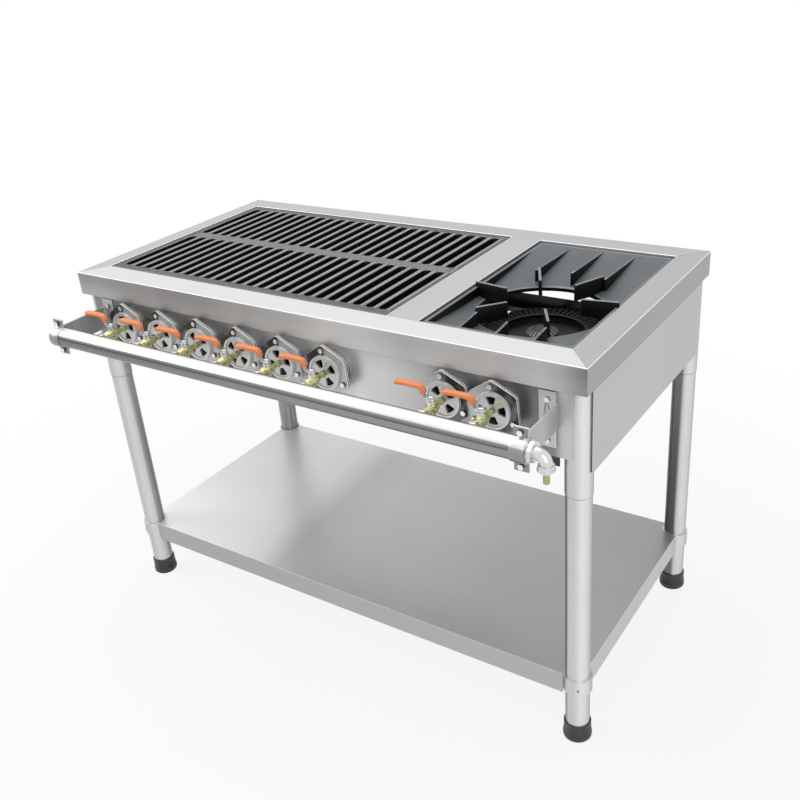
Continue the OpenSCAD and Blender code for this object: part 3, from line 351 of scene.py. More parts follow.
def shelfSteel(name, look):
    # low shelf: painted light at the left, a soft field of painted shade from the middle on, painted shade to the rear
    # and painted light to the front
    f = Finish(name, Metallic=look["metal"])
    x, y = f.spot()[:2]
    ny, nz = f.facing()[1:]
    grain = f.brush("x")
    wave = f.cloud(1.0, (0.4, 0.9, 0.2), look["waveStretch"])
    line = x + y * look["lean"] + (wave - 0.5) * look["waver"]
    rear, front = look["rear"], look["front"]
    paintedShelfLight = f.ramp(line, top["halfWidth"], look["stops"])
    paintedShelfLight = paintedShelfLight * (1.0 - f.rise(y, rear["start"], rear["stop"]) * rear["paintedShade"])
    paintedShelfLight = paintedShelfLight * (1.0 + front["paler"] - f.rise(y, front["start"], front["stop"]) * front["paler"])
    flat, edge, upright = bySlope(nz)
    # painted shade on the upright edges, the front one paler to the right, and painted highlights on the bevels
    frontEdge = (ny < -slopes["side"]) * (f.rise(x, -0.5, 0.5) * look["frontEdgeRise"] + look["frontEdge"])
    otherEdge = (ny > -slopes["side"]) * look["sideEdge"]
    tone = flat * paintedShelfLight + edge * look["edge"] + upright * (frontEdge + otherEdge)
    return skinned(f, look, greyOf(f, grained(tone, grain, look["grain"])), grain)


finishes["shelf_steel"] = shelfSteel("shelf_steel", shelfLook)

# belly, inner and line paint shade: a dark band under the pipe, the dark inner side of the far right leg and a shadow
# line under each corner socket; far and near paint light and shade on the legs behind and in front
tubeBase = dict(
    metal=0.5, depth=0.0003, shares=(0.12, 0.10, 0.89), farFrom=0.1,
    bellyShade=0.0, bellyShadeFade=(-0.6, 0.3), inner=0.0, innerShadeFade=(-0.35, 0.0), line=0.0, shadowLineWidth=0.002, shadowLineDark=0.55,
    farLeft=0.0, farRight=0.0, nearRight=0.0,
)
tubeLooks = {
    "tube_steel": dict(
        tubeBase, grain="z", rough=0.22, roughSpread=0.12, bump=0.04, across=(0.914, 0.406, 0.0),
        inner=0.70, line=0.558, farLeft=-0.46, farRight=0.06, nearRight=0.12,
        stops=[(0.0, 0.12), (0.05, 0.20), (0.12, 0.55), (0.34, 0.58), (0.62, 0.78), (0.82, 0.72), (0.94, 0.50),
               (1.0, 0.25)]),
    "pipe_steel": dict(
        tubeBase, grain="x", rough=0.16, roughSpread=0.10, bump=0.03, across=(0.0, 0.55, 0.835), bellyShade=0.42,
        stops=[(0.0, 0.06), (0.06, 0.20), (0.12, 0.31), (0.28, 0.29), (0.33, 0.10), (0.40, 0.22), (0.47, 0.27),
               (0.54, 0.92), (0.93, 0.95), (0.965, 0.28), (1.0, 0.08)]),
    "clamp_steel": dict(
        tubeBase, grain="x", rough=0.20, roughSpread=0.10, bump=0.03, across=(0.0, 0.55, 0.835),
        stops=[(0.0, 0.10), (0.10, 0.30), (0.30, 0.30), (0.45, 0.35), (0.56, 0.90), (0.84, 0.92), (0.89, 0.34),
               (0.94, 0.30), (1.0, 0.10)]),
}


def tubeSteel(name, look):
    # drawn tube: painted reflections in long soft bands that run with it, set by the way the skin faces
    f = Finish(name, Metallic=look["metal"])
    nx, ny, nz = f.facing("Normal")
    u, v, w = look["across"]
    turn = nx * u + ny * v + nz * w
    reflectionBands = f.ramp(turn, 1.0, look["stops"])
    grain = f.brush(look["grain"])
    cloud = f.cloud(5.0, (1.1, 2.7, 0.4))
    x, y, z = f.spot()
    far = y > look["farFrom"]
    # painted light and shade on each leg, set by where it stands
    legLight = far * (x < 0) * look["farLeft"] + far * (x > 0) * look["farRight"]
    legLight = legLight + (1.0 - far) * (x > 0) * look["nearRight"] + 1.0
    bellyShade = (turn < 0.0) * (1.0 - f.rise(x, *look["bellyShadeFade"])) * look["bellyShade"]
    # painted shade on the inner side of the far right leg, and a painted shadow line under each corner socket
    inner = far * (x > 0) * (1.0 - f.rise(turn, *look["innerShadeFade"])) * look["inner"]
    line = (z < look["line"]) * (z > look["line"] - look["shadowLineWidth"]) * look["shadowLineDark"]
    tone = mottled(reflectionBands, grain, cloud, look["shares"]) * legLight * (1.0 - bellyShade) * (1.0 - inner) * (1.0 - line)
    return skinned(f, look, greyOf(f, tone), grain)


for name, look in tubeLooks.items():
    finishes[name] = tubeSteel(name, look)

ironBase = dict(roughSpread=0.22, depth=0.0005, flatRise=(0.90, 0.97), edgeRise=(0.15, 0.35), shares=(0.5, 0.3, 0.6))
ironLooks = {
    "grate_iron": dict(
        ironBase, metal=0.35, shine=0.4, flat=0.30, edge=0.36, wall=0.003,
        tint=(0.96, 1.0, 0.985), rough=0.40, bump=0.25,
        bars=dict(pitch=0.0298, crest=0.0024, flank=0.0046, dark=0.88, wander=0.0012),
        border=dict(side=0.0165, front=0.0235, back=0.0185, blur=0.002, dim=0.62),
        cross=dict(y=0.013 + shiftY, half=0.0135, blur=0.003, dim=0.62 * 0.6)),
    "support_iron": dict(
        ironBase, metal=0.25, shine=0.22, flat=0.145, edge=0.32, wall=0.005,
        tint=(0.93, 1.0, 1.05), rough=0.34, bump=0.22,
        rim=dict(inset=0.0095, front=0.0155, paler=0.07), crest=dict(z=top["z"] + 0.001, paler=0.16)),
    "cap_iron": dict(
        ironBase, metal=0.4, shine=0.3, flat=0.06, edge=0.15, wall=0.012,
        tint=(0.97, 1.0, 1.02), rough=0.34, bump=0.22),
}


def castIron(name, look):
    # sandy casting: painted light on the tops, painted highlights on the edges and painted shade on the walls
    f = Finish(name, Metallic=look["metal"], Specular_IOR_Level=look["shine"])
    x, y, z = f.spot()
    nz = f.facing()[2]
    grain = f.sand()
    patch = f.noise(9.0, f.place(move=(0.3, 0.9, 0.2)), 3.0, 0.6)
    flat = f.rise(nz, *look["flatRise"])
    edge = f.rise(nz, *look["edgeRise"]) * (1.0 - flat)
    tone = flat * look["flat"] + edge * look["edge"] + (1.0 - flat - edge) * look["wall"]
    if "bars" in look:
        # bars between the slots: a painted highlight on the crest with painted shade on the flanks, in a dim border
        # and crossed by a dim bar
        bars, border, cross = look["bars"], look["border"], look["cross"]
        middle = (grateOpening["x0"] + grateOpening["x1"]) / 2
        across = abs(f.wrap(x - middle, bars["pitch"] / 2) + (patch - 0.5) * bars["wander"])
        flank = f.rise(across, bars["crest"], bars["flank"])
        near = f.larger(grateOpening["y0"] + border["front"] - y, y - grateOpening["y1"] + border["back"])
        near = f.larger(near, grateOpening["x0"] + border["side"] - x)
        outside = f.rise(near, -border["blur"], border["blur"])
        crossing = 1.0 - f.rise(abs(y - cross["y"]), cross["half"] - cross["blur"], cross["half"] + cross["blur"])
        shade = (1.0 - f.larger(outside, crossing)) * flank * bars["dark"]
        shade = shade + outside * border["dim"] + (1.0 - outside) * crossing * cross["dim"]
        tone = tone * (1.0 - flat * shade)
    if "rim" in look:
        rim = look["rim"]
        inside = (x > hobOpening["x0"] + rim["inset"]) * (x < hobOpening["x1"] - rim["inset"])
        inside = inside * (y > hobOpening["y0"] + rim["front"]) * (y < hobOpening["y1"] - rim["inset"])
        tone = tone + flat * (1.0 - inside) * rim["paler"]
        # painted highlight on the tops of the fins and ribs, above the rim
        tone = tone + (z > look["crest"]["z"]) * flat * look["crest"]["paler"]
    tone = mottled(tone, patch, grain, look["shares"])
    return skinned(f, look, greyOf(f, tone, look["tint"]), grain)


for name, look in ironLooks.items():
    finishes[name] = castIron(name, look)

burnerLook = dict(
    metal=0.5, rough=0.32, roughSpread=0.25, bump=0.25, depth=0.0005,
    bareBehind=0.001, bare=0.16, bareTopLight=0.38, topLight=(-0.6, 0.9), black=0.012, blackRise=0.03,
)


def burnerIron(name, look):
    # black casting whose mouths in front of the panel are bare grey steel, paler on top by painted light
    f = Finish(name, Metallic=look["metal"])
    grain = f.sand()
    bare = f.spot()[1] < mouth["panelFront"] + look["bareBehind"]
    topLight = f.rise(f.facing()[2], *look["topLight"])
    tone = bare * (topLight * look["bareTopLight"] + look["bare"])
    tone = tone + (1.0 - bare) * (grain * look["blackRise"] + look["black"])
    return skinned(f, look, greyOf(f, tone), grain)


finishes["burner_iron"] = burnerIron("burner_iron", burnerLook)

ringLook = dict(
    metal=0.3, shine=0.2, rough=0.34, roughSpread=0.22, bump=0.3, depth=0.0005,
    flatFrom=0.9, edgeFrom=0.2, flat=0.020, edge=0.20, wall=0.003, tint=(0.97, 1.0, 1.02), grain=0.6,
)


def ringIron(name, look):
    # black ring with painted highlights on the bevelled rims of its inner edge and slots, and painted shade on its
    # walls
    f = Finish(name, Metallic=look["metal"], Specular_IOR_Level=look["shine"])
    nz = f.facing()[2]
    grain = f.sand()
    flat = nz > look["flatFrom"]
    edge = (nz > look["edgeFrom"]) * (nz < look["flatFrom"])
    tone = flat * look["flat"] + edge * look["edge"] + look["wall"]
    return skinned(f, look, greyOf(f, grained(tone, grain, look["grain"]), look["tint"]), grain)


finishes["ring_iron"] = ringIron("ring_iron", ringLook)

flangeLook = dict(
    rough=0.24, roughSpread=0.20, bump=0.12, depth=0.0004, edgeMetal=0.10, faceMetal=0.65,
    ring=0.62, ringStep=0.0003, leftFace=0.50, rightFace=0.035, rightRise=0.12, rightPatch=(0.45, 0.60),
    turnOver=0.012, shade=0.97, shadeDepth=0.0012, grain=0.2,
)


def flangeSteel(name, look):
    # plates with painted highlights on the cut edges, painted shade on the right of the faces, and a painted highlight
    # on the raised ring
    f = Finish(name)
    x, y = f.spot()[:2]
    grain = f.noise(160.0, f.place(), 3.0, 0.6)
    cloud = f.cloud(26.0, (0.2, 0.6, 0.9))
    ring = y < mouth["flangeFront"] - look["ringStep"]
    face = abs(f.facing()[1]) > slopes["flat"]
    # how far right of the nearest mouth axis a point lies
    hobLeft, hobRight = mouthXs[-2:]
    atGrill = x < mouth["grillEnd"]
    atLeft = (x < (hobLeft + hobRight) / 2) * (1.0 - atGrill)
    beside = atGrill * f.wrap(x - mouth["grillMiddle"], mouth["pitch"] / 2)
    beside = beside + atLeft * (x - hobLeft) + (1.0 - atGrill - atLeft) * (x - hobRight)
    paintedShade = f.rise(beside, -look["turnOver"], look["turnOver"])
    plate = (1.0 - paintedShade) * look["leftFace"]
    plate = plate + paintedShade * (f.rise(cloud, *look["rightPatch"]) * look["rightRise"] + look["rightFace"])
    # painted highlights on the cut edges, the one next to the panel in a painted shadow line
    shade = (y > mouth["flangeBack"] - look["shadeDepth"]) * look["shade"]
    plate = face * plate + (1.0 - face) * (1.0 - shade)
    tone = ring * look["ring"] + (1.0 - ring) * plate
    f.wire(Metallic=face * look["faceMetal"] + look["edgeMetal"])
    return skinned(f, look, greyOf(f, grained(tone, grain, look["grain"])), grain)


finishes["flange_steel"] = flangeSteel("flange_steel", flangeLook)

blackBase = dict(roughSpread=0.2, bump=0.15, depth=0.0004)
blackLooks = {
    "black_rail": dict(blackBase, dark=(0.008,) * 3, light=(0.02,) * 3, rough=0.35),
    "black_box": dict(blackBase, dark=(0.003,) * 3, light=(0.008,) * 3, rough=0.75),
    "foot_rubber": dict(blackBase, dark=(0.016, 0.016, 0.017), light=(0.055, 0.055, 0.056), rough=0.30),
    "gasket_sheet": dict(blackBase, dark=(0.006,) * 3, light=(0.015,) * 3, rough=0.7),
}


def paintedBlack(name, look):
    f = Finish(name)
    skin = f.noise(180.0, f.place(), 4.0, 0.6)
    return skinned(f, look, f.blend(skin, look["dark"], look["light"]), skin)


for name, look in blackLooks.items():
    finishes[name] = paintedBlack(name, look)

gripLook = dict(
    dark=(0.88, 0.25, 0.085), light=(0.97, 0.33, 0.13), rough=0.34, roughSpread=0.12, bump=0.05, depth=0.0002,
)


def grippedPlastic(name, look):
    # dipped grip: even colour with a slight mottle
    f = Finish(name)
    skin = f.noise(60.0, f.place(), 3.0, 0.6)
    fine = f.noise(900.0, f.place(), 2.0, 0.5)
    return skinned(f, look, f.blend(skin, look["dark"], look["light"]), fine)


finishes["grip_plastic"] = grippedPlastic("grip_plastic", gripLook)

platedBase = dict(roughSpread=0.2, depth=0.0003)
platedLooks = {
    "plated_fasteners": dict(
        platedBase, metal=0.7, dark=0.75, light=0.95, rough=0.18, spots=90.0, bump=0.05,
        flankShade=0.12, litFrom=0.75, litFully=0.95),
    "brass_fittings": dict(
        platedBase, metal=0.85, dark=(0.36, 0.37, 0.15), light=(0.68, 0.68, 0.38), rough=0.22, spots=120.0, bump=0.1),
    "galvanised_elbow": dict(platedBase, metal=0.75, dark=0.58, light=0.88, rough=0.20, spots=60.0, bump=0.12),
    "lever_steel": dict(platedBase, metal=0.85, dark=0.55, light=0.80, rough=0.18, spots=90.0, bump=0.06),
    "shutter_steel": dict(platedBase, metal=0.6, dark=0.48, light=0.72, rough=0.26, spots=40.0, bump=0.05),
}


def platedMetal(name, look):
    f = Finish(name, Metallic=look["metal"])
    spots = f.noise(look["spots"], f.place(), 5.0, 0.6)
    if "flankShade" in look:
        # painted highlight on the faces along Y, painted shade on the flanks
        lit = f.rise(abs(f.facing()[1]), look["litFrom"], look["litFully"])
        lit = lit * (1.0 - look["flankShade"]) + look["flankShade"]
        colour = greyOf(f, lit * (spots * (look["light"] - look["dark"]) + look["dark"]))
    else:
        colour = f.blend(spots, look["dark"], look["light"])
    return skinned(f, look, colour, spots)


for name, look in platedLooks.items():
    finishes[name] = platedMetal(name, look)

valveLook = dict(
    metal=0.85, rough=0.20, roughSpread=0.25, bump=0.18, depth=0.0004,
    dark=(0.46, 0.47, 0.16), light=(0.82, 0.81, 0.45), spots=(0.36, 0.62), plate=(0.72, 0.72, 0.70), towerRise=0.0095,
)


def valveMetal(name, look):
    # cast brass body under a plated stem tower
    f = Finish(name, Metallic=look["metal"])
    spots = f.rise(f.noise(210.0, f.place(), 2.0, 0.5), *look["spots"])
    plated = f.spot()[2] > mouth["z"] + look["towerRise"]
    brass = f.blend(spots, look["dark"], look["light"])
    return skinned(f, look, f.blend(plated, brass, look["plate"]), spots)


finishes["valve_metal"] = valveMetal("valve_metal", valveLook)
print("materials made")


def dress(obj, name):
    obj.data.materials.clear()
    obj.data.materials.append(finishes[name])


# nodes with a finish of their own, in place of their slot's
ownFinish = dict(
    side_panel_left="side_steel", side_panel_right="side_steel", burner_ring="ring_iron",
    pipe_clamps="clamp_steel", reducer="galvanised_elbow",
)
for entry in frame["record"]["subparts"]:
    dress(nodes[entry["node"]], ownFinish.get(entry["node"], entry["material_slot"]))


def bevelled(obj, width, segments, angle):
    bevel = obj.modifiers.new("bevel", "BEVEL")
    bevel.width = width
    bevel.segments = segments
    bevel.limit_method = "ANGLE"
    bevel.angle_limit = math.radians(angle)
    return bevel


# small rounding of the cut edges, kept inside the solid's own outline
rounding = dict(
    top_deck=0.0011, shelf=0.0010, side_panel_left=0.0005, side_panel_right=0.0005,
    grate=0.0009, burner_ring=0.0005, burner_cap=0.0005, mouth_flanges=0.0004,
    flange_screws=0.0005, reducer=0.0006, clamp_bolts=0.0006, bracket_left=0.0006,
    bracket_right=0.0006, pipe_clamps=0.0005, collar_screws=0.0005,
)
for node, width in rounding.items():
    weld = nodes[node].modifiers.new("weld", "WELD")
    weld.merge_threshold = 0.00001
    bevelled(nodes[node], width, 2, 38).harden_normals = True
print("edges softened")


def clearHand():
    if bpy.context.object and bpy.context.object.mode != "OBJECT":
        bpy.ops.object.mode_set(mode="OBJECT")
    bpy.ops.object.select_all(action="DESELECT")


def held(obj):
    # makes a piece the only one selected
    clearHand()
    obj.select_set(True)
    bpy.context.view_layer.objects.active = obj


def faceOut():
    # turns the faces of the active piece outwards
    bpy.ops.object.mode_set(mode="EDIT")
    bpy.ops.mesh.select_all(action="SELECT")
    bpy.ops.mesh.normals_make_consistent(inside=False)
    bpy.ops.object.mode_set(mode="OBJECT")


def pick(obj, test):
    # selects the vertices that pass a test and stays in edit mode
    bpy.ops.object.mode_set(mode="EDIT")
    bpy.ops.mesh.select_mode(type="VERT")
    bpy.ops.mesh.select_all(action="DESELECT")
    bpy.ops.object.mode_set(mode="OBJECT")
    for vertex in obj.data.vertices:
        vertex.select = bool(test(vertex.co))
    bpy.ops.object.mode_set(mode="EDIT")


def drawOut(rings, x=0.0, y=0.0):
    # extrudes the selected ring step by step along Z, rings are (height, radius)
    for (z0, r0), (z1, r1) in zip(rings, rings[1:]):
        bpy.ops.mesh.extrude_region_move(TRANSFORM_OT_translate={"value": (0, 0, z1 - z0)})
        bpy.ops.transform.resize(value=(r1 / r0, r1 / r0, 1), center_override=(x, y, z1))


def rounded(obj, width, segments=2, angle=32, smooth=40):
    held(obj)
    bevelled(obj, width, segments, angle)
    bpy.ops.object.modifier_apply(modifier="bevel")
    bpy.ops.object.shade_smooth_by_angle(angle=math.radians(smooth))


def placed(obj, turn=(0, 0, 0), spot=(0, 0, 0)):
    held(obj)
    obj.rotation_euler = turn
    obj.location = spot
    bpy.ops.object.transform_apply(location=True, rotation=True, scale=True)
    return obj


def turned(rings, width, sides=28, start=0.0, turn=(0, 0, 0), spot=(0, 0, 0)):
    # a disc drawn out along Z, its edges rounded by width, then put in its place
    clearHand()
    z, radius = rings[0]
    bpy.ops.mesh.primitive_circle_add(
        vertices=sides, radius=radius, fill_type="NGON", location=(0, 0, z), rotation=(0, 0, start))
    bpy.ops.object.transform_apply(location=True, rotation=True, scale=True)
    bpy.ops.object.mode_set(mode="EDIT")
    bpy.ops.mesh.select_all(action="SELECT")
    drawOut(rings)
    faceOut()
    obj = bpy.context.object
    rounded(obj, width)
    return placed(obj, turn, spot)


def thickened(obj, thickness, offset=0, even=False):
    # gives a sheet its wall
    wall = obj.modifiers.new("wall", "SOLIDIFY")
    wall.thickness = thickness
    wall.offset = offset
    wall.use_even_offset = even
    bpy.ops.object.modifier_apply(modifier="wall")
    faceOut()


def ribbon(points, width, thickness, edge, segments):
    # a strip drawn along points in the XZ plane, then given its thickness and round edges
    clearHand()
    (x0, z0), (x1, z1) = points[:2]
    bpy.ops.mesh.primitive_plane_add(size=1, location=(0, 0, 0))
    strip = bpy.context.object
    stub = 0.001  # length of the strip before its end is drawn out
    bpy.ops.object.mode_set(mode="EDIT")
    bpy.ops.mesh.select_all(action="SELECT")
    bpy.ops.transform.resize(value=(stub, width, 1), center_override=(0, 0, 0))
    bpy.ops.transform.translate(value=(x0, 0, z0))
    bpy.ops.object.mode_set(mode="OBJECT")
    pick(strip, lambda co: co.x < x0)
    bpy.ops.mesh.select_mode(type="EDGE")
    bpy.ops.transform.translate(value=(x1 - x0 + stub / 2, 0, z1 - z0))
    for (xa, za), (xb, zb) in zip(points[1:], points[2:]):
        bpy.ops.mesh.extrude_region_move(TRANSFORM_OT_translate={"value": (xb - xa, 0, zb - za)})
    bpy.ops.object.mode_set(mode="OBJECT")
    thickened(strip, thickness, even=True)
    rounded(strip, edge, segments, 50)
    return strip


def joined(name, parts):
    clearHand()
    for part in parts:
        part.select_set(True)
    bpy.context.view_layer.objects.active = parts[0]
    bpy.ops.object.join()
    bpy.context.object.name = name
    return bpy.context.object


def spread(pattern, name, move, body, slot, stands):
    # a copy with its own mesh, moved to its place
    piece = pattern.copy()
    piece.data = pattern.data.copy()
    piece.name = name
    bpy.context.scene.collection.objects.link(piece)
    placed(piece, spot=move)
    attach(piece, body)
    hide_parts(stands)
    dress(piece, slot)


# the levers, grips, valves and injectors are modelled finer than the solids they stand for
alongY = (-math.pi / 2, 0, 0)
pipeY = -0.412 + shiftY

# valve, drawn from the pipe axis along +Y with its stem upright at stemAt, rings are (distance, radius)
valve = dict(
    stemAt=0.056, barrel=0.0098, neck=0.0050, bodyEdge=0.0006,
    barrelRings=((0.0305, 0.9), (0.036, 0.9), (0.043, 1), (0.050, 1.06), (0.060, 1.06), (0.066, 0.92)),
    neckRings=((0.070, 1.35), (0.074, 1), (0.0805, 1)),
    hexagon=dict(rings=((0.0185, 0.0128), (0.0310, 0.0128)), width=0.0009, sides=6, start=math.pi / 6),
    collar=dict(
        rings=((-0.014, 0.0050), (-0.0115, 0.0066), (0.0, 0.0066), (0.004, 0.0082), (0.0095, 0.0082)), width=0.0006),
    packing=dict(rings=((0.0097, 0.0078), (0.0148, 0.0078)), width=0.0007, sides=6, start=0.2),
    stem=dict(rings=((0.0145, 0.0034), (0.0205, 0.0034)), width=0.0005, sides=20),
)
stemSpot = (0, valve["stemAt"], 0)
bodyRings = [(at, valve["barrel"] * share) for at, share in valve["barrelRings"]]
bodyRings += [(at, valve["neck"] * share) for at, share in valve["neckRings"]]
valvePattern = joined("valvePattern", [
    turned(bodyRings, valve["bodyEdge"], turn=alongY),
    turned(**valve["hexagon"], turn=alongY),
    turned(**valve["collar"], spot=stemSpot),
    turned(**valve["packing"], spot=stemSpot),
    turned(**valve["stem"], spot=stemSpot),
])

injector = dict(
    nut=dict(rings=((0.0806, 0.0072), (0.0862, 0.0072)), width=0.0006, sides=6, start=0.35),
    rod=dict(rings=((0.0850, 0.0036), (0.0950, 0.0036), (0.0960, 0.0058), (0.1035, 0.00522)), width=0.0004, sides=24),
)
injectorPattern = joined("injectorPattern", [turned(**injector[part], turn=alongY) for part in ("nut", "rod")])

for k, x in enumerate(mouthXs, 1):
    spot = (x, pipeY, mouth["z"])
    spread(valvePattern, "valve_%d" % k, spot, "range_frame", "valve_metal", "valve_bodies")
    spread(injectorPattern, "injector_%d" % k, spot, "range_frame", "brass_fittings", "injectors")
print("valves made")

# lever: flat plate on the stem that turns up into the grip, lines are (x, z) from the stem
lever = dict(
    stemY=-0.356 + shiftY, aboveMouth=0.01725, width=0.0085, thickness=0.0024, edge=0.0006,
    line=((0.0070, 0.0), (-0.0105, 0.0), (-0.0128, 0.0010), (-0.0148, 0.0060), (-0.0155, 0.0140)),
    head=dict(rings=((-0.00125, 0.0076), (0.00125, 0.0076)), width=0.0005),
    nut=dict(rings=((0.0013, 0.0062), (0.0058, 0.0062)), width=0.0007, sides=6, start=0.5),
)
leverPattern = joined("leverPattern", [
    ribbon(lever["line"], lever["width"], lever["thickness"], lever["edge"], 2),
    turned(**lever["head"]),
    turned(**lever["nut"]),
])

grip = dict(
    width=0.0128, thickness=0.0084, edge=0.0036,
    line=((-0.0150, 0.0072), (-0.0156, 0.0130), (-0.0175, 0.0178), (-0.0215, 0.0200), (-0.0300, 0.0206),
          (-0.0500, 0.0208), (-0.0715, 0.0198)),
)
gripPattern = ribbon(grip["line"], grip["width"], grip["thickness"], grip["edge"], 4)

for k, x in enumerate(mouthXs, 1):
    spot = (x, lever["stemY"], mouth["z"] + lever["aboveMouth"])
    spread(leverPattern, "leverPlate_%d" % k, spot, "valve_lever_%d" % k, "lever_steel", "lever_%d" % k)
    spread(gripPattern, "leverGrip_%d" % k, spot, "valve_lever_%d" % k, "grip_plastic", "grip_%d" % k)
for pattern in (valvePattern, injectorPattern, leverPattern, gripPattern):
    bpy.data.objects.remove(pattern)
print("levers made")

# pan support: a dished plate inside a rim, with fins that reach over the burner
support = dict(
    top=0.806, holeShift=-0.004, hole=0.123, lip=0.0100, lipEdge=0.0015, drop=0.021, meets=0.286, sheet=0.005,
    sunk=0.0005, dishSteps=6, sides=120, wide=0.50, trim=0.001, dishSmooth=25,
    rim=0.0065, frontBand=0.0060, rimHeight=0.024, rimEdge=0.0012,
    draft=0.72, bladeEdge=0.0009, fin=0.007, finTop=0.816, finDip=0.0022,
    fins=((5, 0.076, 0.146), (175, 0.076, 0.146), (62, 0.076, 0.144), (118, 0.076, 0.144),
          (233, 0.070, 0.132), (301, 0.070, 0.132)),  # angle, inner and outer end
    rib=0.006, ribTop=0.8115, ribPitch=0.072, ribDip=0.0052, ribLap=0.006, rearRib=0.130,
    frontRibs=((-1, 0.115), (0, 0.134), (1, 0.130)), frontEnd=0.004,
)
tiny = 0.0001  # how near to a plane a vertex is when it is picked
low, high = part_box("hob_plate")
plateX, plateY = (low[0], high[0]), (low[1], high[1])
holeY = burner["y"] + support["holeShift"]
half = support["sheet"] / 2
holeZ = support["top"] - support["drop"]
throat = support["hole"] + half
# rings of the dish: the lip of the hole, the slope, then level out past the rim
rings = [(holeZ - support["lip"], throat), (holeZ - half - support["lipEdge"], throat)]
rings.append((holeZ - half, throat + support["lipEdge"]))
for k in range(1, support["dishSteps"] + 1):
    rings.append((holeZ - half + (support["drop"] - support["sunk"]) * k / support["dishSteps"],
                  support["hole"] + (support["meets"] - support["hole"]) * k / support["dishSteps"]))
rings.append((support["top"] - support["sunk"] - half, support["wide"]))
clearHand()
bpy.ops.mesh.primitive_circle_add(
    vertices=support["sides"], radius=throat, fill_type="NOTHING", location=(burner["x"], holeY, rings[0][0]))
bpy.ops.object.transform_apply(location=True, rotation=True, scale=True)
dish = bpy.context.object
bpy.ops.object.mode_set(mode="EDIT")
bpy.ops.mesh.select_all(action="SELECT")
drawOut(rings, burner["x"], holeY)
cuts = (
    ((plateX[0] + support["trim"], 0, 0), (-1, 0, 0)), ((plateX[1] - support["trim"], 0, 0), (1, 0, 0)),
    ((0, plateY[0] + support["trim"], 0), (0, -1, 0)), ((0, plateY[1] - support["trim"], 0), (0, 1, 0)),
)
for spot, way in cuts:
    bpy.ops.mesh.select_all(action="SELECT")
    bpy.ops.mesh.bisect(plane_co=spot, plane_no=way, clear_outer=True)
bpy.ops.object.mode_set(mode="OBJECT")
thickened(dish, support["sheet"])
bpy.ops.object.shade_smooth_by_angle(angle=math.radians(support["dishSmooth"]))

# rim: a frame with a wider band in front, drawn down to its wall
clearHand()
bpy.ops.mesh.primitive_plane_add(size=1, location=(sum(plateX) / 2, sum(plateY) / 2, support["top"]))
rimPiece = bpy.context.object
rimPiece.scale = (plateX[1] - plateX[0], plateY[1] - plateY[0], 1)
bpy.ops.object.transform_apply(location=True, rotation=True, scale=True)
bpy.ops.object.mode_set(mode="EDIT")
bpy.ops.mesh.select_mode(type="FACE")
bpy.ops.mesh.select_all(action="SELECT")
bpy.ops.mesh.inset(thickness=support["rim"])
bpy.ops.mesh.delete(type="FACE")
pick(rimPiece, lambda co: abs(co.y - plateY[0] - support["rim"]) < tiny)
bpy.ops.transform.translate(value=(0, support["frontBand"], 0))
bpy.ops.object.mode_set(mode="OBJECT")
thickened(rimPiece, support["rimHeight"], -1)
rounded(rimPiece, support["rimEdge"])


def blade(reach, crest, thickness, turn, spot, dips):
    # an upright fin along X, thinner and dipped at its crest, then turned about Z
    clearHand()
    foot = support["top"] - support["rimHeight"]
    bpy.ops.mesh.primitive_cube_add(
        size=1, location=(sum(reach) / 2, 0, (foot + crest) / 2), scale=(reach[1] - reach[0], thickness, crest - foot))
    bpy.ops.object.transform_apply(location=True, rotation=True, scale=True)
    obj = bpy.context.object
    pick(obj, lambda co: co.z > crest - tiny)
    bpy.ops.transform.resize(value=(1, support["draft"], 1), center_override=(0, 0, crest))
    for end, dip in zip(reach, dips):
        pick(obj, lambda co: co.z > crest - tiny and abs(co.x - end) < tiny)
        bpy.ops.transform.translate(value=(0, 0, -dip))
    bpy.ops.object.mode_set(mode="OBJECT")
    rounded(obj, support["bladeEdge"])
    return placed(obj, (0, 0, turn), spot)


def straightRib(side, start, stop, dips):
    spot = (burner["x"] + side * support["ribPitch"], 0, 0)
    return blade((start, stop), support["ribTop"], support["rib"], math.pi / 2, spot, dips)


blades = []
axisSpot = (burner["x"], burner["y"], 0)
finDips = (support["finDip"], 0.0)
for angle, inner, outer in support["fins"]:
    blades.append(blade((inner, outer), support["finTop"], support["fin"], math.radians(angle), axisSpot, finDips))
slantAngle, slantOuter = support["fins"][2][0], support["fins"][2][2]
for side in (-1, 0, 1):
    # rear ribs run back to where the dish is level with the rim, the outer two from the ends of the slanted fins
    slanted = slantOuter * math.sin(math.radians(slantAngle)) - support["ribLap"]
    start = burner["y"] + (support["rearRib"] if side == 0 else slanted)
    stop = holeY + math.sqrt(support["meets"] ** 2 - (side * support["ribPitch"]) ** 2) + support["ribLap"]
    blades.append(straightRib(side, start, stop, (0.0, support["ribDip"])))
for side, reach in support["frontRibs"]:
    blades.append(straightRib(side, plateY[0] + support["frontEnd"], burner["y"] - reach, (support["ribDip"], 0.0)))
panSupport = joined("panSupport", [dish, rimPiece] + blades)
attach(panSupport, "pan_support")
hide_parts("hob_plate")
dress(panSupport, "support_iron")
print("pan support made")

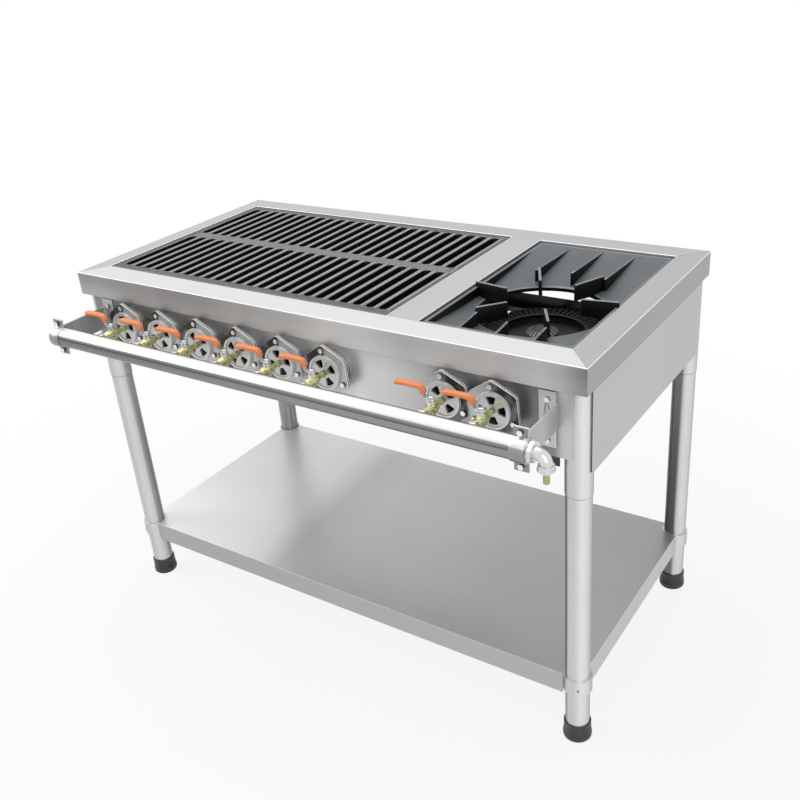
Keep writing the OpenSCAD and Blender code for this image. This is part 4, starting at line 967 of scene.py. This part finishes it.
# camera, fitted to the edges of the photograph, its spot measured from the floor under the middle of the top
cameraFit = dict(
    turn=(1.9913266049842602, 0.5463467159490244, -0.43899546045351256),
    spot=(1.1443172231118306, -1.5513529107814867, 1.459917953276831),
    focal=962.6364542085299,
    centre=(405.3867995403029, 396.2915721357675),
    pixels=800, sensor=36.0, reach=50,
)
turnAxis = Vector(cameraFit["turn"])
lookTurn = Matrix.Rotation(turnAxis.length, 3, turnAxis.normalized())
rows = (lookTurn[0], -lookTurn[1], -lookTurn[2])
cameraSpot = Vector(cameraFit["spot"]) + Vector((0, shiftY, 0))
cameraData = bpy.data.cameras.new("camera")
cameraData.sensor_width = cameraFit["sensor"]
cameraData.lens = cameraFit["focal"] / cameraFit["pixels"] * cameraFit["sensor"]
cameraData.shift_x = (cameraFit["pixels"] / 2 - cameraFit["centre"][0]) / cameraFit["pixels"]
cameraData.shift_y = (cameraFit["centre"][1] - cameraFit["pixels"] / 2) / cameraFit["pixels"]
cameraData.clip_end = cameraFit["reach"]
camera = bpy.data.objects.new("camera", cameraData)
camera.matrix_world = Matrix.Translation(cameraSpot) @ Matrix(rows).transposed().to_4x4()
bpy.context.scene.collection.objects.link(camera)
bpy.context.scene.camera = camera
bpy.context.scene.view_settings.view_transform = "Standard"
print("camera placed")

lamps = {
    "lampAbove": dict(spot=(-0.6, 0.2, 3.4), aim=(0, 0, 0.5), size=(3.0, 2.4), energy=46),
    "lampLeft": dict(spot=(-3.2, -1.6, 2.2), aim=(0, 0, 0.5), size=(2.0, 2.4), energy=32),
    "lampRight": dict(spot=(3.0, -2.6, 1.8), aim=(0, 0, 0.5), size=(1.6, 2.0), energy=26),
}
for name, look in lamps.items():
    lampData = bpy.data.lights.new(name, "AREA")
    lampData.shape = "RECTANGLE"
    lampData.size, lampData.size_y = look["size"]
    lampData.energy = look["energy"]
    lamp = bpy.data.objects.new(name, lampData)
    spot = Vector(look["spot"])
    aim = (Vector(look["aim"]) - spot).to_track_quat("-Z", "Y")
    lamp.matrix_world = Matrix.Translation(spot) @ aim.to_matrix().to_4x4()
    bpy.context.scene.collection.objects.link(lamp)


def backdropSeen(tree):
    # 1 for the rays that look at the background or mirror it
    path = tree.nodes.new("ShaderNodeLightPath")
    value = path.outputs["Is Camera Ray"]
    for other in ("Is Glossy Ray", "Is Transmission Ray"):
        either = tree.nodes.new("ShaderNodeMath")
        either.operation = "MAXIMUM"
        tree.links.new(value, either.inputs[0])
        tree.links.new(path.outputs[other], either.inputs[1])
        value = either.outputs[0]
    return value


# the world lights the part softly and shows as white
worldLook = dict(light=0.45, seen=1.0)
world = bpy.data.worlds.new("world")
bpy.context.scene.world = world
world.use_nodes = True
worldTree = world.node_tree
worldTree.nodes.clear()
choose = worldTree.nodes.new("ShaderNodeMixShader")
worldOut = worldTree.nodes.new("ShaderNodeOutputWorld")
worldTree.links.new(backdropSeen(worldTree), choose.inputs[0])
for k, strength in enumerate(worldLook.values(), 1):
    background = worldTree.nodes.new("ShaderNodeBackground")
    background.inputs["Color"].default_value = (1, 1, 1, 1)
    background.inputs["Strength"].default_value = strength
    worldTree.links.new(background.outputs[0], choose.inputs[k])
worldTree.links.new(choose.outputs[0], worldOut.inputs[0])

# white floor: it takes the shadow near the feet and melts into the background further out
floorLook = dict(size=40, rough=0.9, dark=0.86, light=0.90, glow=0.86, meltFrom=0.8, meltTo=1.8)
bpy.ops.object.select_all(action="DESELECT")
bpy.ops.mesh.primitive_plane_add(size=floorLook["size"], location=(0, 0, 0))
floor = bpy.context.object
floor.name = "floor"
paper = Finish("floorPaper", Roughness=floorLook["rough"])
paper.wire(Base_Color=paper.blend(paper.noise(2.0, paper.place()), floorLook["dark"], floorLook["light"]))
px, py = paper.spot()[:2]
away = (px * px + py * py) ** 0.5
melt = paper.rise(away, floorLook["meltFrom"], floorLook["meltTo"]) * (1.0 - floorLook["glow"]) + floorLook["glow"]
share = melt * Wire(paper, backdropSeen(paper.tree))
glow = paper.tree.nodes.new("ShaderNodeEmission")
glow.inputs["Color"].default_value = (1, 1, 1, 1)
glow.inputs["Strength"].default_value = 1.0
mixFloor = paper.tree.nodes.new("ShaderNodeMixShader")
paper.tree.links.new(share.socket, mixFloor.inputs[0])
paper.tree.links.new(paper.shader.outputs[0], mixFloor.inputs[1])
paper.tree.links.new(glow.outputs[0], mixFloor.inputs[2])
paper.tree.links.new(mixFloor.outputs[0], paper.tree.nodes["Material Output"].inputs["Surface"])
floor.data.materials.append(paper.material)
print("lights and floor placed")
